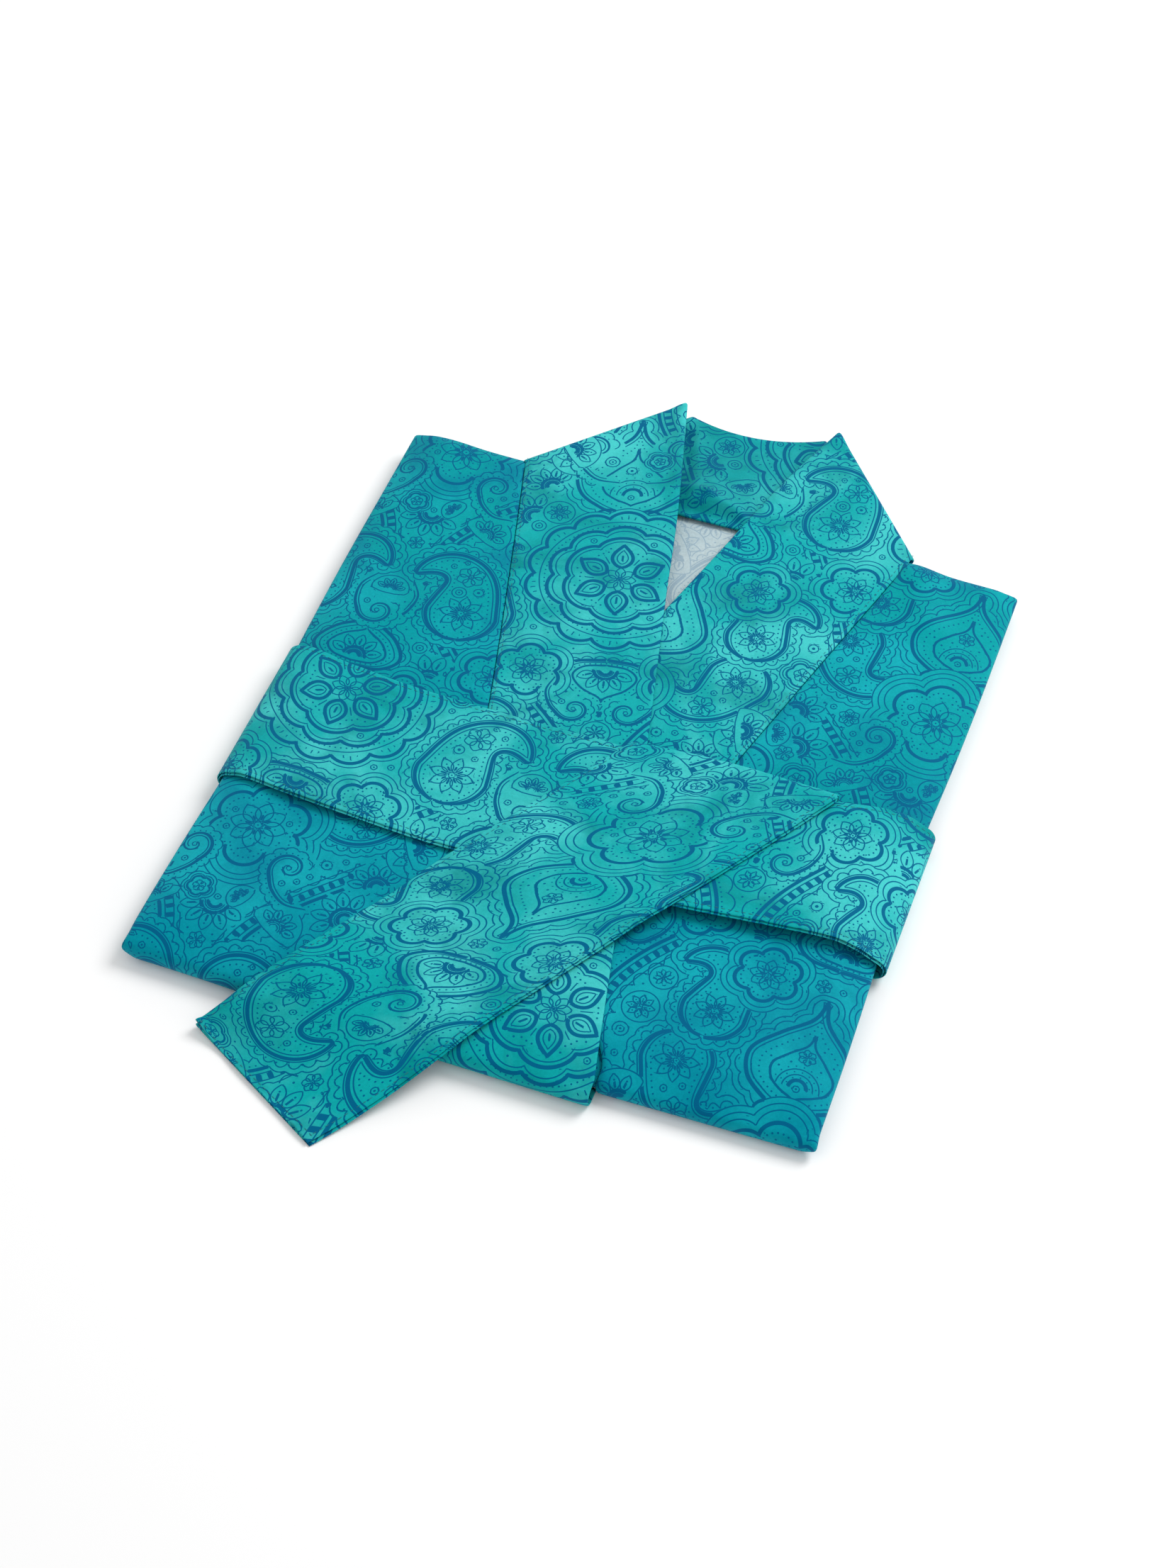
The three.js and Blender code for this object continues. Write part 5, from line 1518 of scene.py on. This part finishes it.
def sash_stretch(name, side_sign, reach, waves, gap_low, gap_high):
    """A stretch of the sash from under the free end out over the packet, round its side and back below it."""
    end_x = SASH_JOIN + side_sign * GAP / 2
    under_x = SASH_UNDER_JOIN + side_sign * GAP / 2
    straight, arc, below = 150, 26, 60
    at = np.concatenate(
        [np.linspace(0, 1, straight), np.linspace(0, 1, arc)[1:], np.linspace(0, 1, below)[1:]]
    )[:, None]
    kind = np.repeat([0, 1, 2], [straight, arc - 1, below - 1])[:, None]
    rows = np.arange(len(at))
    body = edge_round(np.minimum(rows, rows[::-1]) / 3)[:, None]
    edge = side_sign * (reach - TURN_IN)
    x_mid = np.where(kind == 0, mix(end_x, edge, at), edge)
    width = read(SASH, 1, x_mid) - read(SASH, 2, x_mid)

    def place(from_low, off):
        share = from_low / width

        def height_at(x):
            return mix(read(SASH, 4, x), read(SASH, 3, x), share)

        def across_at(x):
            return mix(read(SASH, 2, x), read(SASH, 1, x), share)

        radius = height_at(edge + 0 * share) / (1 + math.cos(SASH_START))
        middle = reach - radius
        start_x = side_sign * (middle + radius * math.sin(SASH_START))
        inner = radius - HALF + off
        x_top = mix(end_x, start_x, at)
        slope = height_at(x_top + 0.5) - height_at(x_top - 0.5)
        lean = np.hypot(1, slope)
        down = HALF - off
        y_top = across_at(x_top)
        z_top = height_at(x_top) - down / lean + waves(x_top, y_top) * smooth(0, 6, np.abs(x_top - end_x))
        angle = mix(SASH_START, math.pi, at)
        y_side = across_at(start_x)
        wave_side = waves(start_x, y_side) * np.clip(1 - 2 * at, 0, 1)
        x_under = mix(side_sign * middle, under_x, at)
        top = points_of(x_top + slope * down / lean, y_top, z_top)
        side = points_of(
            side_sign * (middle + inner * np.sin(angle)), y_side, radius + inner * np.cos(angle) + wave_side
        )
        under = points_of(x_under, y_side, HALF - off)
        return np.where((kind == 0)[..., None], top, np.where((kind == 1)[..., None], side, under))

    shows = kind < 2
    gaps = (gap_low(x_mid) * shows, gap_high(x_mid) * shows)
    return tube_piece(name, place, width, *gaps, body, 0 * width, (UNDER_OUT * shows, 0))


RIGHT_WAVES = [
    (-60, -10, -120, -4, 6, 0.3), (-130, -60, -108, -20, 6, -0.35), (-146, -20, -112, 6, 6, 0.4),
    (-60, -60, 0, -52, 8, 0.3),
]
sash_right, sewn_lines = sash_stretch(
    "sash_over_right", -1, 151, lambda x, y: ridges(RIGHT_WAVES, x, y),
    lambda x: AT_REST + 0.3 * hill(x, -118, 26), lambda x: AT_REST + 0.12 * hill(x, -135, 20),
)
finish_cloth(sash_right, band_cloth, grain=90, cut_at=(50, 60))
right_stitches = stitches("sash_right_stitches", [line[STITCHED] for line in sewn_lines], 7)
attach(sash_right, "root")
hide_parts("sash_right")

# ==== sash, left stretch ====
# The other stretch of the same tube, wound round the packet's left side and pressed flat below it. Its lower
# edge parts and curls open where it turns down the side.
LEFT_WAVES = [(90, -30, 138, -44, 7, -0.35), (112, 4, 140, -16, 6, 0.35), (80, -10, 120, 0, 7, 0.3)]
sash_left, sewn_lines = sash_stretch(
    "sash_over_left", 1, 152.4, lambda x, y: ridges(LEFT_WAVES, x, y),
    lambda x: AT_REST + 0.34 * hill(x, 138, 24), lambda x: AT_REST + 0.2 * hill(x, 132, 16),
)
finish_cloth(sash_left, band_cloth, grain=90, cut_at=(150, 10))
left_stitches = stitches("sash_left_stitches", [line[STITCHED] for line in sewn_lines], 11)
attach(sash_left, "root")
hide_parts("sash_left")

# ==== sash, free end ====
# One end of the sash comes up behind it, folds over its upper edge and lies slanting over the front down to
# the table, where its open end shows two cloths.
# along, left x, left y, right x, right y, height of the face at each
TAIL = np.array([
    (0, 14.4, 4.2, 108.9, 4.4, 20.8, 21), (0.33, -34, -75, 59.5, -73, 20.7, 20.9),
    (0.4, -43, -89.5, 50.5, -85, 19.4, 19.6), (0.48, -53, -106, 37.5, -105, 17.5, 17.9),
    (0.68, -80, -148.8, 6.4, -155, 16.9, 16.9), (0.76, -90.4, -163.6, -2.6, -169, 14, 13.8),
    (0.88, -98.6, -174.2, -17, -189.8, 7.6, 7.6), (0.95, -103.6, -180.3, -30.4, -207.4, 3.8, 3),
    (1, -106.7, -184.2, -41.2, -221.6, 2.2, 1.5),
], float)
TAIL_BOW, TAIL_LEG, FOLD_OPEN = 3, 30, 1.1
TAIL_LENGTH, END_SEAM_IN = 268, 2.5
LEG_TOP = HIGH_LEVEL + GAP + BAND_WALL + GAP + SASH_WALL
TAIL_WAVES = [
    (30, -30, -30, -120, 9, -0.3), (70, -30, 44, -66, 8, 0.3), (-40, -110, -70, -150, 9, 0.35),
    (10, -110, -10, -150, 7, 0.3),
]
CORNER_WAVES = [
    (-110, -186, -84, -171, 6.5, 2.6), (-100, -199, -76, -186, 6, -0.6), (-46, -212, -30, -196, 6, 0.6),
]
leg_rows, fold_rows, laid_rows, back_rows = 24, 16, 220, 5
tail_at = np.concatenate([
    np.linspace(0, 1, leg_rows)[:-1], np.linspace(0, 1, fold_rows), np.linspace(0, 1, laid_rows)[1:],
    np.full(back_rows, 1.0),
])[:, None]
tail_kind = np.repeat([0, 1, 2, 3], [leg_rows - 1, fold_rows, laid_rows - 1, back_rows])[:, None]
back_in = np.concatenate([np.zeros(len(tail_at) - back_rows), [0.15, 0.5, 1.2, 2.4, 2.8]])[:, None]


def tail_place(from_left, off):
    start, end = TAIL[0], TAIL[-1]
    lean = np.array([end[1] - start[1], end[2] - start[2]]) / np.hypot(end[1] - start[1], end[2] - start[2])
    share = from_left / tail_width
    arch = TAIL_BOW * 4 * share * (1 - share)
    laid_at = np.where(tail_kind >= 2, tail_at - back_in / TAIL_LENGTH, 0)
    x = mix(read(TAIL, 1, laid_at), read(TAIL, 3, laid_at), share)
    y = mix(read(TAIL, 2, laid_at), read(TAIL, 4, laid_at), share) + arch * (1 - smooth(0, 0.2, laid_at))
    top = mix(read(TAIL, 5, laid_at), read(TAIL, 6, laid_at), share)
    wave = ridges(TAIL_WAVES, x, y) * smooth(0.02, 0.1, laid_at) * (1 - smooth(0.8, 0.95, laid_at))
    wave += FOLD_OPEN * hill(share, 1, 0.14) * (1 - smooth(0, 0.1, laid_at))
    lift = (off + HALF) / SASH_WALL
    curl = (1.3 * hill(share, 0, 0.12) * smooth(0.965, 1, laid_at) + ridges(CORNER_WAVES, x, y)) * lift
    laid = points_of(x, y, np.maximum(top - HALF + off + wave + curl, 0.04 + (off + HALF) * 0.9))
    fold_x = mix(start[1], start[3], share)
    fold_y = mix(start[2], start[4], share) + arch
    upper_inner = mix(start[5], start[6], share) - SASH_WALL + FOLD_OPEN * hill(share, 1, 0.14)
    radius = (upper_inner - LEG_TOP) / 2
    round_by = radius + HALF + off
    angle = math.pi * tail_at
    fold = points_of(
        fold_x, fold_y + round_by * np.sin(angle), LEG_TOP + radius - round_by * np.cos(angle)
    )
    back = TAIL_LEG * (1 - tail_at)
    leg = points_of(fold_x - lean[0] * back, fold_y + lean[1] * back, LEG_TOP - HALF - off)
    return np.where((tail_kind == 0)[..., None], leg, np.where((tail_kind == 1)[..., None], fold, laid))


width_at = np.where(tail_kind >= 2, tail_at, 0)
tail_width = np.hypot(
    read(TAIL, 3, width_at) - read(TAIL, 1, width_at), read(TAIL, 4, width_at) - read(TAIL, 2, width_at)
)
tail_rows = np.arange(len(tail_at))
tail_body = edge_round(np.minimum(tail_rows / 3, tail_rows[::-1]))[:, None]
tail_inset = np.where(back_in > 0.4, 1.0, 0)
tail_gaps = (AT_REST + 0.2 * smooth(0.85, 1, width_at), 0.2 + 0.14 * smooth(0.9, 1, width_at))
tail_peep = (0.4 * smooth(0.8, 0.95, width_at), (0.9 + 0.3 * smooth(0.9, 1, width_at)) * (tail_kind >= 2))
sash_tail, sewn_lines = tube_piece(
    "sash_free_end", tail_place, tail_width, *tail_gaps, tail_body, tail_inset, tail_peep,
)
finish_cloth(sash_tail, band_cloth, grain=0, cut_at=(140, 100))
end_line = mix(END_SEAM_IN, tail_width - END_SEAM_IN, np.linspace(0, 1, 40)[None, :])
across_end = tail_place(end_line, HALF + STITCHES_UP + 0 * tail_width)[-back_rows - 3]
tail_lines = [line[leg_rows:-back_rows - 3] for line in sewn_lines]
tail_stitches = stitches("sash_end_stitches", tail_lines + [across_end], 13)
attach(sash_tail, "root")
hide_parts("sash_tail")
